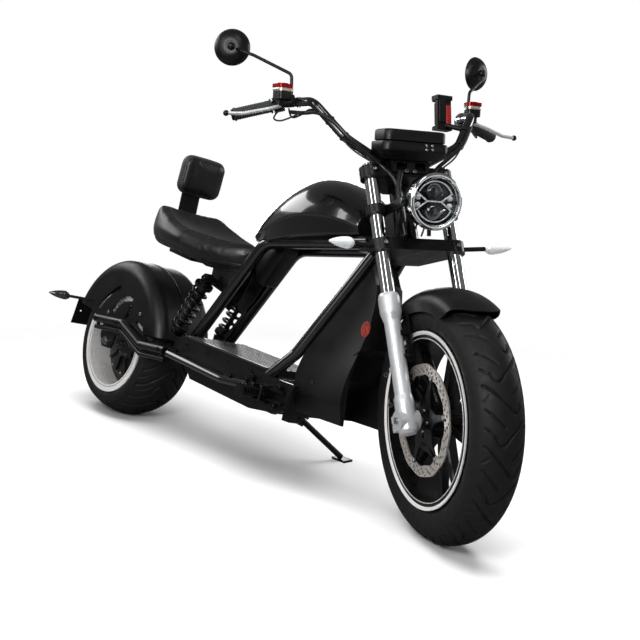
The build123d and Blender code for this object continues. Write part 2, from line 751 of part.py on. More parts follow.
wall = rear_fender_wall
drum = revolve(drum_face(rear_fender_r, rear_fender_half, shoulder), axis=Axis.Y)
hollow = revolve(drum_face(rear_fender_r - wall, rear_fender_half - wall, shoulder - wall), axis=Axis.Y)
seam_height = 1.5
seam = Rot(90, 0, 0) * (Cylinder(rear_fender_r + seam_height, 5) - Cylinder(rear_fender_r - 1, 5))
drum = drum - hollow + seam
slot_table = (
    # width, then radius and angle from the axle of its start, middle and end
    (15, (150, 137), (163, 114), (184, 91)),
    (19, (106, 97), (143, 80), (180, 62)),
    (15, (116, 54), (134, 53), (156, 57)),
    (13, (168, 31), (186, 24), (200, 20)),
)
for width, *route in slot_table:
    spots = [(r * cos(radians(a)), r * sin(radians(a))) for r, a in route]
    slot = Plane.XZ * SlotArc(ThreePointArc(*spots), width)
    for side in (-1, 1):
        drum = drum - Pos(0, side * rear_fender_half + 6, 0) * extrude(slot, 12)
drum = Pos(*rear_axle_at) * drum
tail_cut = [(-70, rear_fender_floor), (-170, 326), (-400, 356)]
under_drum = [(-400, -100), (400, -100), (400, rear_fender_floor)] + tail_cut
drum = drum - side_plate(under_drum, -200, 200)
for side in (-1, 1):
    for x in (-34, 100):
        face_y = side * (rear_fender_half - 1)
        drum = drum + rod((x, face_y, 301), (x, side * (arm_y - arm_thick / 2), 301), 14)
chassis["rear_fender"] = drum

# Rear lamps and plate holder
tail_angle = 152.0
tail_at = rear_axle_at + Vector(cos(radians(tail_angle)), 0, sin(radians(tail_angle))) * (rear_fender_r - 1)
tail = Plane(origin=tail_at, x_dir=(0, 1, 0), z_dir=(cos(radians(tail_angle)), 0, sin(radians(tail_angle))))
tail_lens = fillet(Box(90, 34, 24, align=(Align.CENTER, Align.CENTER, Align.MIN)).edges(), 7)
chassis["tail_light"] = tail * tail_lens - drum
plate_y = 62.0
plate_bolt_r = 3.25
plate_thick = 3.0
plate_board_at = Vector(-318, 0, 300)
plate_normal = Vector(-cos(radians(14)), 0, sin(radians(14)))
board_plane = Plane(origin=plate_board_at, x_dir=(0, 1, 0), z_dir=plate_normal)
plate_board = board_plane * Box(170, 100, plate_thick)
for side in (-1, 1):
    plate_board = plate_board - board_plane * Pos(side * plate_y, 0, 0) * Cylinder(plate_bolt_r, 20)
plate_board = plate_board + rod((-262, 0, 330), plate_board_at + Vector(4, 0, 14), 16)
chassis["plate_holder"] = largest(plate_board - drum)

signal_r = 15.0
signal_len = 74.0


def signal_lamp(start, along):
    """Leaf shaped lamp that points away from the bike."""
    side = make_face(
        [
            Line((0, 0), (5, 0)),
            ThreePointArc((5, 0), (signal_r * 0.86, signal_len * 0.12), (signal_r, signal_len * 0.34)),
            ThreePointArc((signal_r, signal_len * 0.34), (signal_r * 0.7, signal_len * 0.7), (2, signal_len)),
            Line((2, signal_len), (0, signal_len)),
            Line((0, signal_len), (0, 0)),
        ]
    )
    direction = Vector(*along).normalized()
    plane = Plane(origin=start, x_dir=(0, 0, 1), z_dir=direction)
    return plane * Rot(90, 0, 0) * revolve(side, axis=Axis.Y)


rear_signal = rod((-186, 106, 352), (-214, 178, 351), 10) + signal_lamp((-213, 174, 351), (-18, 60, -1))
chassis["rear_signals"] = pair(rear_signal - drum)

# Footrests: a casting on each front corner of the deck, with a folding peg
foot_y = deck_half - 6
peg_at = Vector(884, foot_y + 40, 240)
peg_d = 30.0
peg_len = 62.0
casting_outline = [(800, 290), (1000, 284), (966, 206), (930, 190), (830, 196)]
wedge_outline = [(684, 262), (806, 290), (836, 250), (822, 226), (700, 236)]
foot = side_plate(casting_outline, foot_y, foot_y + 14)
foot = foot + side_plate(wedge_outline, foot_y, foot_y + 20)
for z0, z1 in ((222, 230), (252, 260)):
    foot = foot + block(838, 968, foot_y + 10, foot_y + 24, z0, z1)
foot = foot + block(862, 906, foot_y + 10, foot_y + 30, 214, 264)
for x in (860, 898):
    foot = foot + block(x, x + 10, foot_y + 20, foot_y + 52, 218, 262, 3)
foot = foot + rod((852, peg_at.Y, 240), (916, peg_at.Y, 240), 12)
foot = foot + rod(peg_at - sideways(8), peg_at + sideways(peg_len), 22)
for ring in range(5):
    ring_at = peg_at + sideways(18 + ring * 10)
    foot = foot + rod(ring_at, ring_at + sideways(6), peg_d)
foot = foot + rod(peg_at + sideways(peg_len - 2), peg_at + sideways(peg_len + 5), peg_d + 8)
for x, z in ((826, 274), (950, 268), (940, 214), (722, 256), (800, 262)):
    foot = foot + rod((x, foot_y + 10, z), (x, foot_y + 26, z), 15)
foot = foot - battery_box - down_tube - side_panel
foot = largest(foot)
chassis["footrests"] = pair(foot)
rail = pipe([(412, guard_y, 262), (700, guard_y, 240), (806, deck_half + 8, 244)], [60], 22)
rail = rail + rod((426, deck_half - 6, 262), (426, guard_y, 262), 18)
chassis["lower_rails"] = pair(rail - side_panel - foot)

# Reflectors on the front cover
reflector_seat = Pos(1152, 62, 474) * Rot(0, 0, -40) * Rot(-90, 0, 0)
reflector = reflector_seat * Pos(0, 0, -16) * extrude(Ellipse(12, 21), 20)
chassis["reflectors"] = pair(Pos(0, running_gap, 0) * largest(reflector - cover))

# Handlebar, wide and pulled back
bar_d = 25.0
bar_centre = on_axis(upper_clamp_t + 42, 40)
bar_half_points = [
    (866, 400, 1037),
    (900, 268, 1077),
    (1033, 238, 1076),
    (1102, 168, 985),
    (bar_centre.X, 62, bar_centre.Z),
]
bar_bends = [36, 46, 60, 60]
bar_points = bar_half_points + [(x, -y, z) for x, y, z in reversed(bar_half_points)]
handlebar = pipe(bar_points, bar_bends + bar_bends[::-1], bar_d)
front_end["handlebar"] = handlebar
bar_clamp = None
for side in (-1, 1):
    post = fork_plane(upper_clamp_t + clamp_thick / 2, 40, side * 38) * Box(
        26, 40, 42, align=(Align.CENTER, Align.CENTER, Align.MIN)
    )
    bar_clamp = post if bar_clamp is None else bar_clamp + post
front_end["bar_clamps"] = bar_clamp - handlebar

grip_d = 34.0
grip_len = 106.0
bar_tip = Vector(*bar_half_points[0])
bar_inner = Vector(*bar_half_points[1])
along = (bar_inner - bar_tip).normalized()
front_end["grips"] = pair(rod(bar_tip - along * 4, bar_tip + along * grip_len, grip_d) - handlebar)
perch = rod(bar_tip + along * (grip_len + 1), bar_tip + along * (grip_len + 30), 42)
perch = perch + rod((936, 300, 1070), (950, 246, 1078), 24)
cup = Box(46, 40, 30)
reservoir = Pos(940, 292, 1098) * Rot(0, 0, -12) * fillet(cup.edges().filter_by(Axis.Z), 9)
lid_body = Box(50, 44, 10)
lid_body = fillet(lid_body.edges().filter_by(Axis.Z), 10)
lid = Pos(940, 292, 1118) * Rot(0, 0, -12) * (lid_body + Pos(0, 0, 6) * Cylinder(15, 3))
perch_arm = Pos(928, 290, 1078) * Box(44, 26, 24)
master = perch + reservoir + perch_arm - handlebar - lid
front_end["brake_masters"] = pair(master)
front_end["reservoir_caps"] = pair(lid)
lever = pipe([(940, 292, 1066), (956, 330, 1054), (936, 400, 1036), (930, 440, 1034)], [40, 40], 10)
lever = lever + Pos(929, 444, 1034) * Sphere(8)
front_end["levers"] = pair(lever - master)
mirror_stem = pipe([(952, 270, 1090), (950, 272, 1150), (868, 356, 1200), (776, 388, 1226)], [16, 30], 9)
mirror_foot = rod((952, 262, 1074), (952, 270, 1094), 16)
mirror_r = 51.0
mirror_shell = make_face(
    [
        Line((0, -4), (mirror_r - 4, -4)),
        Line((mirror_r - 4, -4), (mirror_r - 3, -8)),
        Line((mirror_r - 3, -8), (mirror_r, -8)),
        ThreePointArc((mirror_r, -8), (mirror_r * 0.8, 8), (14, 17)),
        Line((14, 17), (0, 17)),
        Line((0, 17), (0, -4)),
    ]
)
mirror_head = Pos(773, 391, 1228) * Rot(0, 0, 24 - 90) * revolve(mirror_shell, axis=Axis.Y)
mirror_ball = Pos(773, 391, 1228) * Rot(0, 0, 24) * Pos(18, 0, 0) * Sphere(11)
mirror_arm = mirror_head + mirror_ball + mirror_stem + mirror_foot
front_end["mirrors"] = pair(mirror_arm - master - lid - handlebar)

# Display over the clamp, on a tapered base
display_x = 1143.0
display_low = 972.0
display_high = 1014.0
display_len = 94.0
display_half = 82.0
display_body = Pos(display_x, 0, (display_low + display_high) / 2) * Box(
    display_len, 2 * display_half, display_high - display_low
)
display_body = fillet(display_body.edges().filter_by(Axis.Z), 16)
display = fillet(display_body.edges().group_by(Axis.Z)[-1], 5)
front_end["display"] = display
base_low = 936.0
base_edge = 957.0
base_top = display_low - running_gap
base_wide = RectangleRounded(display_len + 10, 2 * display_half + 22, 22)
base_narrow = RectangleRounded(display_len - 22, 2 * display_half - 22, 16)
display_base = extrude(Pos(display_x, 0, base_edge) * base_wide, base_top - base_edge)
taper_ends = [Pos(display_x, 0, base_low) * base_narrow, Pos(display_x, 0, base_edge) * base_wide]
taper = loft(taper_ends, ruled=True)
display_base = display_base + taper
front_end["display_base"] = display_base - handlebar - bar_clamp
stay = side_plate([(1150, 905), (1166, 905), (1160, base_low), (1144, base_low)], -54, 54)
stay_window = block(1120, 1190, 12, 42, 911, 931, 4)
stay = stay - stay_window - other_side(stay_window)
front_end["display_stay"] = stay - front_end["display_base"] - front_end["upper_clamp"]

# Headlight ears
ear_t = 560.0
ears = None
for side in (-1, 1):
    leg_plane = fork_plane(ear_t, axle_ahead, side * fork_half)
    arm_plate = side_plate([(1190, 790), (1300, 820), (1300, 846), (1180, 812)], 73, 79)
    arm_plate = arm_plate if side > 0 else other_side(arm_plate)
    ear = leg_plane * Cylinder(27, 24) + arm_plate
    ear = ear + rod((1284, side * 58, lamp_at.Z), (1284, side * 79, lamp_at.Z), 12)
    ear = ear - leg_plane * Cylinder(stanchion_d / 2, 80)
    ears = ear if ears is None else ears + ear
front_end["headlight_ears"] = ears - front_end["headlight_shell"]

# Front signals on the lower clamp
front_signal = rod((1240, 128, 712), (1252, 192, 717), 12) + signal_lamp((1251, 188, 717), (14, 72, 5))
front_end["front_signals"] = pair(front_signal - front_end["lower_clamp"])

# Phone holder on the left of the bar
jaw = Box(12, 46, 92) + Pos(-5, 0, 42) * Box(30, 50, 12) + Pos(-4, 0, -44) * Box(26, 50, 10)
jaw = jaw + Pos(8, -10, 8) * Box(10, 20, 70)
holder = Pos(1012, 160, 1080) * Rot(0, -8, 8) * jaw
holder = holder + rod((1020, 166, 1046), (1062, 200, 1036), 14)
front_end["phone_holder"] = largest(holder - handlebar)

# Hoses: a sheath from each master cylinder down to the lower clamp, and the calliper's hose
sheath_points = [
    (950, 268, 1050),
    (1000, 250, 1046),
    (1048, 232, 1050),
    (1092, 202, 1028),
    (1122, 172, 990),
    (1138, 122, 950),
    (1146, 80, 918),
    (1180, 56, 890),
    (1200, 46, 846),
    (1208, 40, 792),
    (1226, 34, 744),
]
brake_points = [
    (1215, -92, 690),
    (1240, -97, 645),
    (1260, -101, 598),
    (1275, -101, 548),
    (1288, -98, 496),
    (1312, -90, 446),
    (1350, -72, 404),
]


def route_radii(points):
    """Arc for each corner, as large as its two runs allow."""
    radii = []
    for before, here, after in zip(points, points[1:], points[2:]):
        run_in = Vector(*here) - Vector(*before)
        run_out = Vector(*after) - Vector(*here)
        half_turn = radians(run_in.get_angle(run_out)) / 2
        radii.append(0.45 * min(run_in.length, run_out.length) / tan(half_turn))
    return radii


sheath = pipe(sheath_points, route_radii(sheath_points), 11)
for solid in (handlebar, master, front_end["upper_clamp"], front_end["lower_clamp"]):
    sheath = sheath - solid
brake_hose = pipe(brake_points, route_radii(brake_points), 8)
brake_hose = brake_hose - front_end["brake_calliper"] - front_end["lower_clamp"]
sheath = largest(sheath)
front_end["brake_hoses"] = Compound(children=[sheath, other_side(sheath), largest(brake_hose)])

# Parking: the bike leans over until both tyres and the stand's foot share one floor
def ring_low(centre, axle, radius, crown):
    """Lowest point of a tyre whose crown is an arc of its own radius."""
    return centre.Z - (radius - crown) * sqrt(1 - axle.Z**2) - crown


def leaned(vector, pitch):
    return vector.rotate(Axis.X, -lean).rotate(Axis.Y, pitch)


def turn_front(solid):
    return solid.rotate(steer_axis, -steer)


side_dir = Vector(0, 1, 0)
front_axle_dir = side_dir.rotate(Axis((0, 0, 0), steer_u), -steer)
front_centre = turn_front(Vertex(*front_axle_at)).center()
pitch = 0.0
for step in range(6):
    rear_low = ring_low(leaned(rear_axle_at, pitch), leaned(side_dir, pitch), rear_radius, rear_crown)
    front_dir = leaned(front_axle_dir, pitch)
    front_low = ring_low(leaned(front_centre, pitch), front_dir, front_radius, front_crown)
    pitch = pitch + degrees(atan2(front_low - rear_low, wheel_base))
rise = -rear_low
floor_normal = Vector(0, 0, 1).rotate(Axis.Y, -pitch).rotate(Axis.X, lean)


def floor_z(x, y, above=0.0):
    """Height of the real floor in the upright frame."""
    return (above - rise - floor_normal.X * x - floor_normal.Y * y) / floor_normal.Z


# Side stand on the left
stand_pivot = Vector(775, 110, 168)
stand_foot_x = 815.0
stand_foot_y = 285.0
stand_leg_d = 18.0
stand_pad_thick = 7.0
stand_boss_d = 30.0
stand_boss_half = 9.0
stand_pin_d = 12.0
foot_at = Vector(stand_foot_x, stand_foot_y, floor_z(stand_foot_x, stand_foot_y))
folded_dir = Vector(-0.985, 0.15, 0.02).normalized()
leg_dir = (foot_at - stand_pivot).normalized()
stand_axis = leg_dir.cross(folded_dir).normalized()
stand_range = degrees(acos(leg_dir.dot(folded_dir)))
foot_plane = Plane(origin=foot_at, x_dir=(1, 0, 0), z_dir=floor_normal)
stand_pad = foot_plane * Box(58, 34, stand_pad_thick, align=(Align.CENTER, Align.CENTER, Align.MIN))
stand_leg = rod(stand_pivot, foot_at + floor_normal * (stand_pad_thick - 1) - leg_dir * 6, stand_leg_d)
boss_plane = Plane(origin=stand_pivot, z_dir=stand_axis)
stand = stand_leg + stand_pad + boss_plane * Cylinder(stand_boss_d / 2, 2 * stand_boss_half)
stand = stand - foot_plane.offset(-50) * Box(200, 200, 50, align=(Align.CENTER, Align.CENTER, Align.MIN))
stand = stand - boss_plane * Cylinder(stand_pin_d / 2 + running_gap, 60)
side_stand["stand_leg"] = largest(stand)
fork_ear = Box(40, 34, 7, align=standing)
fork_ears = boss_plane.offset(stand_boss_half + 1) * fork_ear
fork_ears = fork_ears + boss_plane.offset(-stand_boss_half - 8) * fork_ear
stand_pin = boss_plane * Cylinder(stand_pin_d / 2, 2 * stand_boss_half + 16)
stand_mount = block(757, 793, 60, 92, 150, 190) - battery_box
chassis["stand_bracket"] = stand_mount + stand_pin + fork_ears - battery_box

# Save every node, placed as the bike parks
def park(solid):
    return Pos(0, 0, rise) * solid.rotate(Axis.X, -lean).rotate(Axis.Y, pitch)


placed = {}
for group in (chassis, front_end, front_wheel, rear_wheel, side_stand):
    for name, solid in group.items():
        if group is front_end or group is front_wheel:
            solid = turn_front(solid)
        placed[name] = park(solid)

boxes = [solid.bounding_box() for solid in placed.values()]
low = Vector(min(b.min.X for b in boxes), min(b.min.Y for b in boxes), min(b.min.Z for b in boxes))
high = Vector(max(b.max.X for b in boxes), max(b.max.Y for b in boxes), max(b.max.Z for b in boxes))
centre_shift = Pos(-(low.X + high.X) / 2, -(low.Y + high.Y) / 2, -low.Z)
for name, solid in placed.items():
    export_step(centre_shift * solid, "parts/" + name + ".step")
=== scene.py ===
import json
import math

import bmesh
import bpy
import numpy as np
from mathutils import Matrix, Vector


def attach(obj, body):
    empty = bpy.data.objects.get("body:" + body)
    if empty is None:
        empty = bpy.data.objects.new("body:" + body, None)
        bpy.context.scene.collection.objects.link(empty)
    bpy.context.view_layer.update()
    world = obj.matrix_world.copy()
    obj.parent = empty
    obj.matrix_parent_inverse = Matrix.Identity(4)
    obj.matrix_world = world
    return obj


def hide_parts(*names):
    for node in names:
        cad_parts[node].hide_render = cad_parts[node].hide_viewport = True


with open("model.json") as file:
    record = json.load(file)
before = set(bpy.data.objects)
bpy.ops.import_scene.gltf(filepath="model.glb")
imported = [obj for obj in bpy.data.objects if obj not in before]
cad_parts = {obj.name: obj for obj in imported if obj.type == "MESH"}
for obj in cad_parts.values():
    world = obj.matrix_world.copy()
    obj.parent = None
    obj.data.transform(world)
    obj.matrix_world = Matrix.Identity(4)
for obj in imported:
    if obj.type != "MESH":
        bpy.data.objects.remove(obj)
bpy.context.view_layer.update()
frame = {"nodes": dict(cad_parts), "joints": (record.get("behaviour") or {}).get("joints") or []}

print("frame loaded:", len(frame["nodes"]), "CAD nodes")

# The scooter leans on its stand with its bars turned. Everything is drawn for an upright bike
# first, x forward, y left, z up, in millimetres from the floor under the rear axle.
# "bike" is that frame, "fork" the same one turned with the bars.
layout = {
    "rake": 28.0, "steer": 22.0, "wheelBase": 1450.0, "rearRadius": 236.0, "frontRadius": 304.0,
    "axleAhead": 48.0, "forkHalf": 104.0,
}
mm = 0.001
spaceOf = {"chassis": "bike", "rear_wheel": "bike", "front_end": "fork", "front_wheel": "fork"}


def jointNamed(name):
    return next(j for j in frame["joints"] if j["name"] == name)


def bikeFrame():
    side = Vector(jointNamed("rear_wheel_spin")["axis"]).normalized()
    stem = Vector(jointNamed("steering")["axis"]).normalized()
    square = side.cross(stem)
    forward = square * math.cos(rake) - stem * math.sin(rake)
    up = square * math.sin(rake) + stem * math.cos(rake)
    origin = Vector(jointNamed("rear_wheel_spin")["pos_m"]) - up * layout["rearRadius"] * mm
    turn = Matrix((forward, side, up)).transposed().to_4x4()
    return Matrix.Translation(origin) @ turn @ Matrix.Scale(mm, 4)


rake = math.radians(layout["rake"])
bikeToRoom = bikeFrame()
stemDir = Vector((-math.sin(rake), 0, math.cos(rake)))
squareDir = Vector((math.cos(rake), 0, math.sin(rake)))
rearAxle = Vector((0, 0, layout["rearRadius"]))
frontAxle = Vector((layout["wheelBase"], 0, layout["frontRadius"]))
stemFoot = frontAxle - squareDir * layout["axleAhead"]
turnFork = (
    Matrix.Translation(stemFoot)
    @ Matrix.Rotation(-math.radians(layout["steer"]), 4, stemDir)
    @ Matrix.Translation(-stemFoot)
)
frameOf = {"bike": bikeToRoom, "fork": bikeToRoom @ turnFork}
roomTo = {space: matrix.inverted() for space, matrix in frameOf.items()}


def alongStem(t, ahead=0.0, side=0.0):
    return stemFoot + stemDir * t + squareDir * ahead + Vector((0, side, 0))


# A spot on a circle round an axle
def roundAxle(axle, radius, degrees, y=0.0):
    a = math.radians(degrees)
    return Vector((axle.x + radius * math.cos(a), y, axle.z + radius * math.sin(a)))


# Camera: where the photograph was taken from, seen from the bike
view = {
    "place": (3209.5, -2062.7, 529.5),
    "look": (-0.745930, 0.665731, -0.019778),
    "up": (-0.155558, -0.145270, 0.977087),
    "lens": 61.47, "sensor": 36.0, "near": 0.05, "far": 60,
}


def addCamera():
    data = bpy.data.cameras.new("camera")
    data.lens = view["lens"]
    data.sensor_width = view["sensor"]
    data.clip_start = view["near"]
    data.clip_end = view["far"]
    camera = bpy.data.objects.new("camera", data)
    bpy.context.scene.collection.objects.link(camera)
    turn = bikeToRoom.to_3x3() * 1000
    look = (turn @ Vector(view["look"])).normalized()
    up = (turn @ Vector(view["up"])).normalized()
    right = look.cross(up).normalized()
    basis = Matrix((right, right.cross(look), -look)).transposed().to_4x4()
    camera.matrix_world = Matrix.Translation(bikeToRoom @ Vector(view["place"])) @ basis
    bpy.context.scene.camera = camera


# sRGB hex to the linear colour that Blender's sockets take
def fromHex(code):
    parts = [int(code[i:i + 2], 16) / 255 for i in (1, 3, 5)]
    return [p / 12.92 if p <= 0.04045 else ((p + 0.055) / 1.055) ** 2.4 for p in parts] + [1.0]


def addNode(tree, kind, links=None, **settings):
    node = tree.nodes.new("ShaderNode" + kind)
    for key, value in settings.items():
        setattr(node, key, value)
    for socket, value in (links or {}).items():
        if isinstance(value, bpy.types.NodeSocket):
            tree.links.new(value, node.inputs[socket])
        else:
            node.inputs[socket].default_value = value
    return node


# Clouds are their size, the gloss between which they vary, and a second colour they drift towards.
# Grain is the size and depth of the surface relief. Sizes are in millimetres.
def mixFinish(name, colour, clouds, metal=0.0, grain=None, kind="TexNoise", strength=1.0, sockets=None):
    material = bpy.data.materials.new(name)
    material.use_nodes = True
    tree = material.node_tree
    shader = tree.nodes["Principled BSDF"]
    shader.inputs["Base Color"].default_value = fromHex(colour)
    shader.inputs["Metallic"].default_value = metal
    for socket, value in (sockets or {}).items():
        shader.inputs[socket].default_value = value
    size, lowRough, highRough, *second = clouds
    where = addNode(tree, "TexCoord")
    cloud = addNode(tree, "TexNoise", {"Vector": where.outputs["Object"], "Scale": 1000 / size, "Detail": 4})
    rough = addNode(tree, "MapRange", {"Value": cloud.outputs["Fac"], "From Min": 0.35, "From Max": 0.65,
                                       "To Min": lowRough, "To Max": highRough})
    tree.links.new(rough.outputs["Result"], shader.inputs["Roughness"])
    if second:
        mix = addNode(tree, "Mix", {"Factor": cloud.outputs["Fac"]}, data_type="RGBA")
        mix.inputs[6].default_value = fromHex(colour)
        mix.inputs[7].default_value = fromHex(second[0])
        tree.links.new(mix.outputs[2], shader.inputs["Base Color"])
    if grain:
        pattern = addNode(tree, kind, {"Vector": where.outputs["Object"], "Scale": 1000 / grain[0]})
        height = pattern.outputs["Distance" if kind == "TexVoronoi" else "Fac"]
        bump = addNode(tree, "Bump", {"Height": height, "Strength": strength, "Distance": grain[1] / 1000})
        tree.links.new(bump.outputs["Normal"], shader.inputs["Normal"])
    return material


recipes = {
    # Two-pack enamel on the frame and tank: deep black with clear lacquer and a faint orange peel
    "enamel": dict(name="enamelGlossBlack", colour="#030303", clouds=(90, 0.16, 0.26), grain=(7, 0.006),
                   sockets={"Coat Weight": 1.0, "Coat Roughness": 0.06}),
    # Moulded ABS: satin, with a fine spark-eroded grain drawn a little coarser than real
    "abs": dict(name="absSatinBlack", colour="#060606", clouds=(60, 0.34, 0.44, "#090909"), grain=(1.4, 0.03),
                sockets={"Specular IOR Level": 0.35}),
    # Powder coat on brackets, bars and the swing arm: even semi-gloss with a pebbled skin
    "powder": dict(name="powderCoatBlack", colour="#050505", clouds=(45, 0.26, 0.38), grain=(2.2, 0.04),
                   sockets={"Specular IOR Level": 0.4}),
    # Painted aluminium casting: satin black over a sand-cast skin
    "cast": dict(name="castAluminiumBlack", colour="#050505", clouds=(30, 0.26, 0.4, "#080808"),
                 grain=(3.5, 0.08), sockets={"Specular IOR Level": 0.4}),
    # Turned aluminium of the rim edges: bright, with a little haze from the tool
    "turned": dict(name="turnedAluminium", colour="#f6f4f2", metal=0.45, clouds=(60, 0.28, 0.36),
                   sockets={"Specular IOR Level": 0.8}),
    # Polished barrel of the rear rim: softly waved, so its reflections break up; the grey clouds in its colour are
    # painted reflection
    "barrel": dict(name="polishedBarrel", colour="#fbf9f7", metal=0.5, clouds=(34, 0.1, 0.3, "#cdc9c6"),
                   grain=(40, 1.2)),
    # Chrome plate: mirror bright, hardly any haze
    "chrome": dict(name="chromePlate", colour="#e9ebed", metal=1.0, clouds=(40, 0.03, 0.09)),
    # Satin silver lacquer over cast fork legs
    "silver": dict(name="silverLacquer", colour="#c4c6c8", metal=0.6, clouds=(80, 0.3, 0.38),
                   grain=(0.8, 0.006), sockets={"Coat Weight": 0.3, "Coat Roughness": 0.2}),
    # Ground stainless steel of the disc
    "disc": dict(name="groundStainless", colour="#cfc8c2", metal=0.7, clouds=(30, 0.26, 0.38, "#b4aea9"),
                 grain=(1.0, 0.01)),
    # Zinc plated bolts, a little dull
    "zinc": dict(name="zincPlate", colour="#b7b9bb", metal=1.0, clouds=(4, 0.2, 0.38, "#9d9fa2")),
    # Blackened bolts
    "blackBolt": dict(name="blackOxideSteel", colour="#1a1a1b", metal=0.7, clouds=(4, 0.28, 0.44)),
    # Tyre rubber: matt, slightly grey where it wears
    "tyre": dict(name="tyreRubber", colour="#0a0a0a", clouds=(26, 0.52, 0.72, "#0f0f0f"), grain=(1.6, 0.06),
                 sockets={"Specular IOR Level": 0.3}),
    # PVC leather of the saddle: soft sheen and a shallow pebble grain
    "vinyl": dict(name="vinylLeather", colour="#070707", clouds=(70, 0.3, 0.42, "#0a0a0a"), grain=(2.4, 0.1),
                  kind="TexVoronoi", strength=0.6, sockets={"Sheen Weight": 0.06, "Sheen Roughness": 0.4}),
    # Coarser knit-grain vinyl on the backrest's side band
    "band": dict(name="vinylBand", colour="#1b1b1c", clouds=(20, 0.45, 0.6, "#232324"), grain=(4.5, 0.8),
                 kind="TexVoronoi"),
    # Moulded grip rubber, faintly green
    "grip": dict(name="gripRubber", colour="#232622", clouds=(18, 0.55, 0.7, "#1d201c"), grain=(1.2, 0.08)),
    # Extruded hose and cable jackets
    "hose": dict(name="hosePvc", colour="#0f0f10", clouds=(15, 0.3, 0.46), grain=(2, 0.05)),
    # Ribbed rubber mat of the deck, silver-grey where the light rakes it
    "mat": dict(name="deckMat", colour="#1b1c1d", clouds=(35, 0.3, 0.4, "#202122"), grain=(1.6, 0.008),
                sockets={"Specular IOR Level": 0.7}),
    # Clear polycarbonate lenses
    "clear": dict(name="polycarbonateClear", colour="#fbfcfd", clouds=(50, 0.01, 0.04),
                  sockets={"Transmission Weight": 1.0, "IOR": 1.25}),
    # Aluminised bowl of the lamp
    "bowl": dict(name="aluminisedBowl", colour="#7d8184", metal=1.0, clouds=(20, 0.1, 0.2)),
    # Projector glass: thick and dark
    "projector": dict(name="projectorGlass", colour="#15181c", clouds=(20, 0.02, 0.06),
                      sockets={"Coat Weight": 1.0, "Coat Roughness": 0.02}),
    # White light guides, lit faintly from inside
    "guide": dict(name="lightGuide", colour="#b4b8bb", clouds=(10, 0.25, 0.4),
                  sockets={"Emission Strength": 0.12, "Emission Color": fromHex("#f6f9fc")}),
    # White prismatic lens of the front signals
    "signal": dict(name="signalLens", colour="#e3e5e6", clouds=(14, 0.1, 0.24, "#c9cccf"), grain=(5, 0.5),
                   kind="TexVoronoi", sockets={"Coat Weight": 1.0, "Coat Roughness": 0.04}),
    # Smoked lens of the rear signals
    "smoked": dict(name="smokedLens", colour="#1c1c1e", clouds=(14, 0.08, 0.2), grain=(5, 0.3),
                   kind="TexVoronoi", sockets={"Coat Weight": 1.0, "Coat Roughness": 0.04}),
    # Orange-red prismatic reflector
    "reflector": dict(name="prismReflector", colour="#861500", clouds=(6, 0.12, 0.3, "#6d1403"),
                      grain=(2.4, 0.5), kind="TexVoronoi", sockets={"Specular IOR Level": 0.25}),
    # Red tail lens
    "redLens": dict(name="acrylicRed", colour="#8d0f12", clouds=(12, 0.06, 0.16, "#6d090c"), grain=(4, 0.4),
                    kind="TexVoronoi", sockets={"Coat Weight": 1.0, "Coat Roughness": 0.03}),
    # Red anodised aluminium caps
    "redCap": dict(name="anodisedRed", colour="#a5161f", metal=0.85, clouds=(9, 0.2, 0.36, "#8c0f18")),
    # Cream-silver reservoir bodies
    "champagne": dict(name="anodisedChampagne", colour="#cdc6b4", metal=0.8, clouds=(9, 0.24, 0.4)),
    # Silvered mirror glass
    "mirror": dict(name="mirrorGlass", colour="#dfe4e8", metal=1.0, clouds=(60, 0.01, 0.04)),
    # Display glass: black, hard coated
    "display": dict(name="displayGlass", colour="#08090b", clouds=(50, 0.04, 0.1),
                    sockets={"Coat Weight": 1.0, "Coat Roughness": 0.02}),
    # Red rubber pad of the phone holder
    "redPad": dict(name="padRubberRed", colour="#8e1417", clouds=(8, 0.45, 0.6, "#74090d"), grain=(1.5, 0.1)),
    # Painted shade: a near-black finish that stands for the shade inside holes
    "shade": dict(name="openShade", colour="#050505", clouds=(10, 0.7, 0.9)),
}
finish = {key: mixFinish(**recipe) for key, recipe in recipes.items()}
print("finishes mixed:", len(finish))

# CAD nodes: their finish, and the width of their rounded edges in millimetres
dressing = {
    "enamel": {"frame_tubes": 0.8, "down_tubes": 0, "tank_cover": 1.5, "steering_head": 1.0, "lower_rails": 0,
               "handlebar": 0},
    "abs": {"front_cover": 1.2, "rear_fender": 0.8, "front_fender": 0.8, "side_panels": 1.2, "display_base": 0.8,
            "seat_pan": 1.2, "phone_holder": 1.0, "headlight_shell": 0, "battery_box": 2.0, "plate_holder": 0.8,
            "mirrors": 0.6},
    "powder": {"pivot_block": 1.5, "seat_bracket": 1.2, "backrest_bracket": 1.5, "swing_arm": 0.8,
               "stand_bracket": 1.0, "stand_leg": 0.8, "display_stay": 0.8, "headlight_ears": 0.8, "shocks": 0.5},
    "cast": {"footrests": 1.0, "lower_clamp": 1.8, "upper_clamp": 1.8, "bar_clamps": 1.2, "brake_masters": 1.2,
             "hub_motor": 1.0, "front_rim": 1.0, "brake_calliper": 1.0},
    "chrome": {"stanchions": 0, "rear_rim": 0.8}, "silver": {"fork_sliders": 0.8, "levers": 0.8},
    "zinc": {"front_axle": 0.8, "rear_axle": 0.8}, "disc": {"brake_disc": 0.4}, "mat": {"deck_plate": 0.4},
    "tyre": {"front_tyre": 0, "rear_tyre": 0}, "vinyl": {"seat": 0, "backrest_pad": 0}, "grip": {"grips": 1.0},
    "hose": {"brake_hoses": 0}, "clear": {"headlight_lens": 0}, "redLens": {"tail_light": 0.8},
    "reflector": {"reflectors": 0.8}, "signal": {"front_signals": 0}, "smoked": {"rear_signals": 0},
    "redCap": {"reservoir_caps": 1.0}, "display": {"display": 0.6},
}
smoothAngle = 32.0


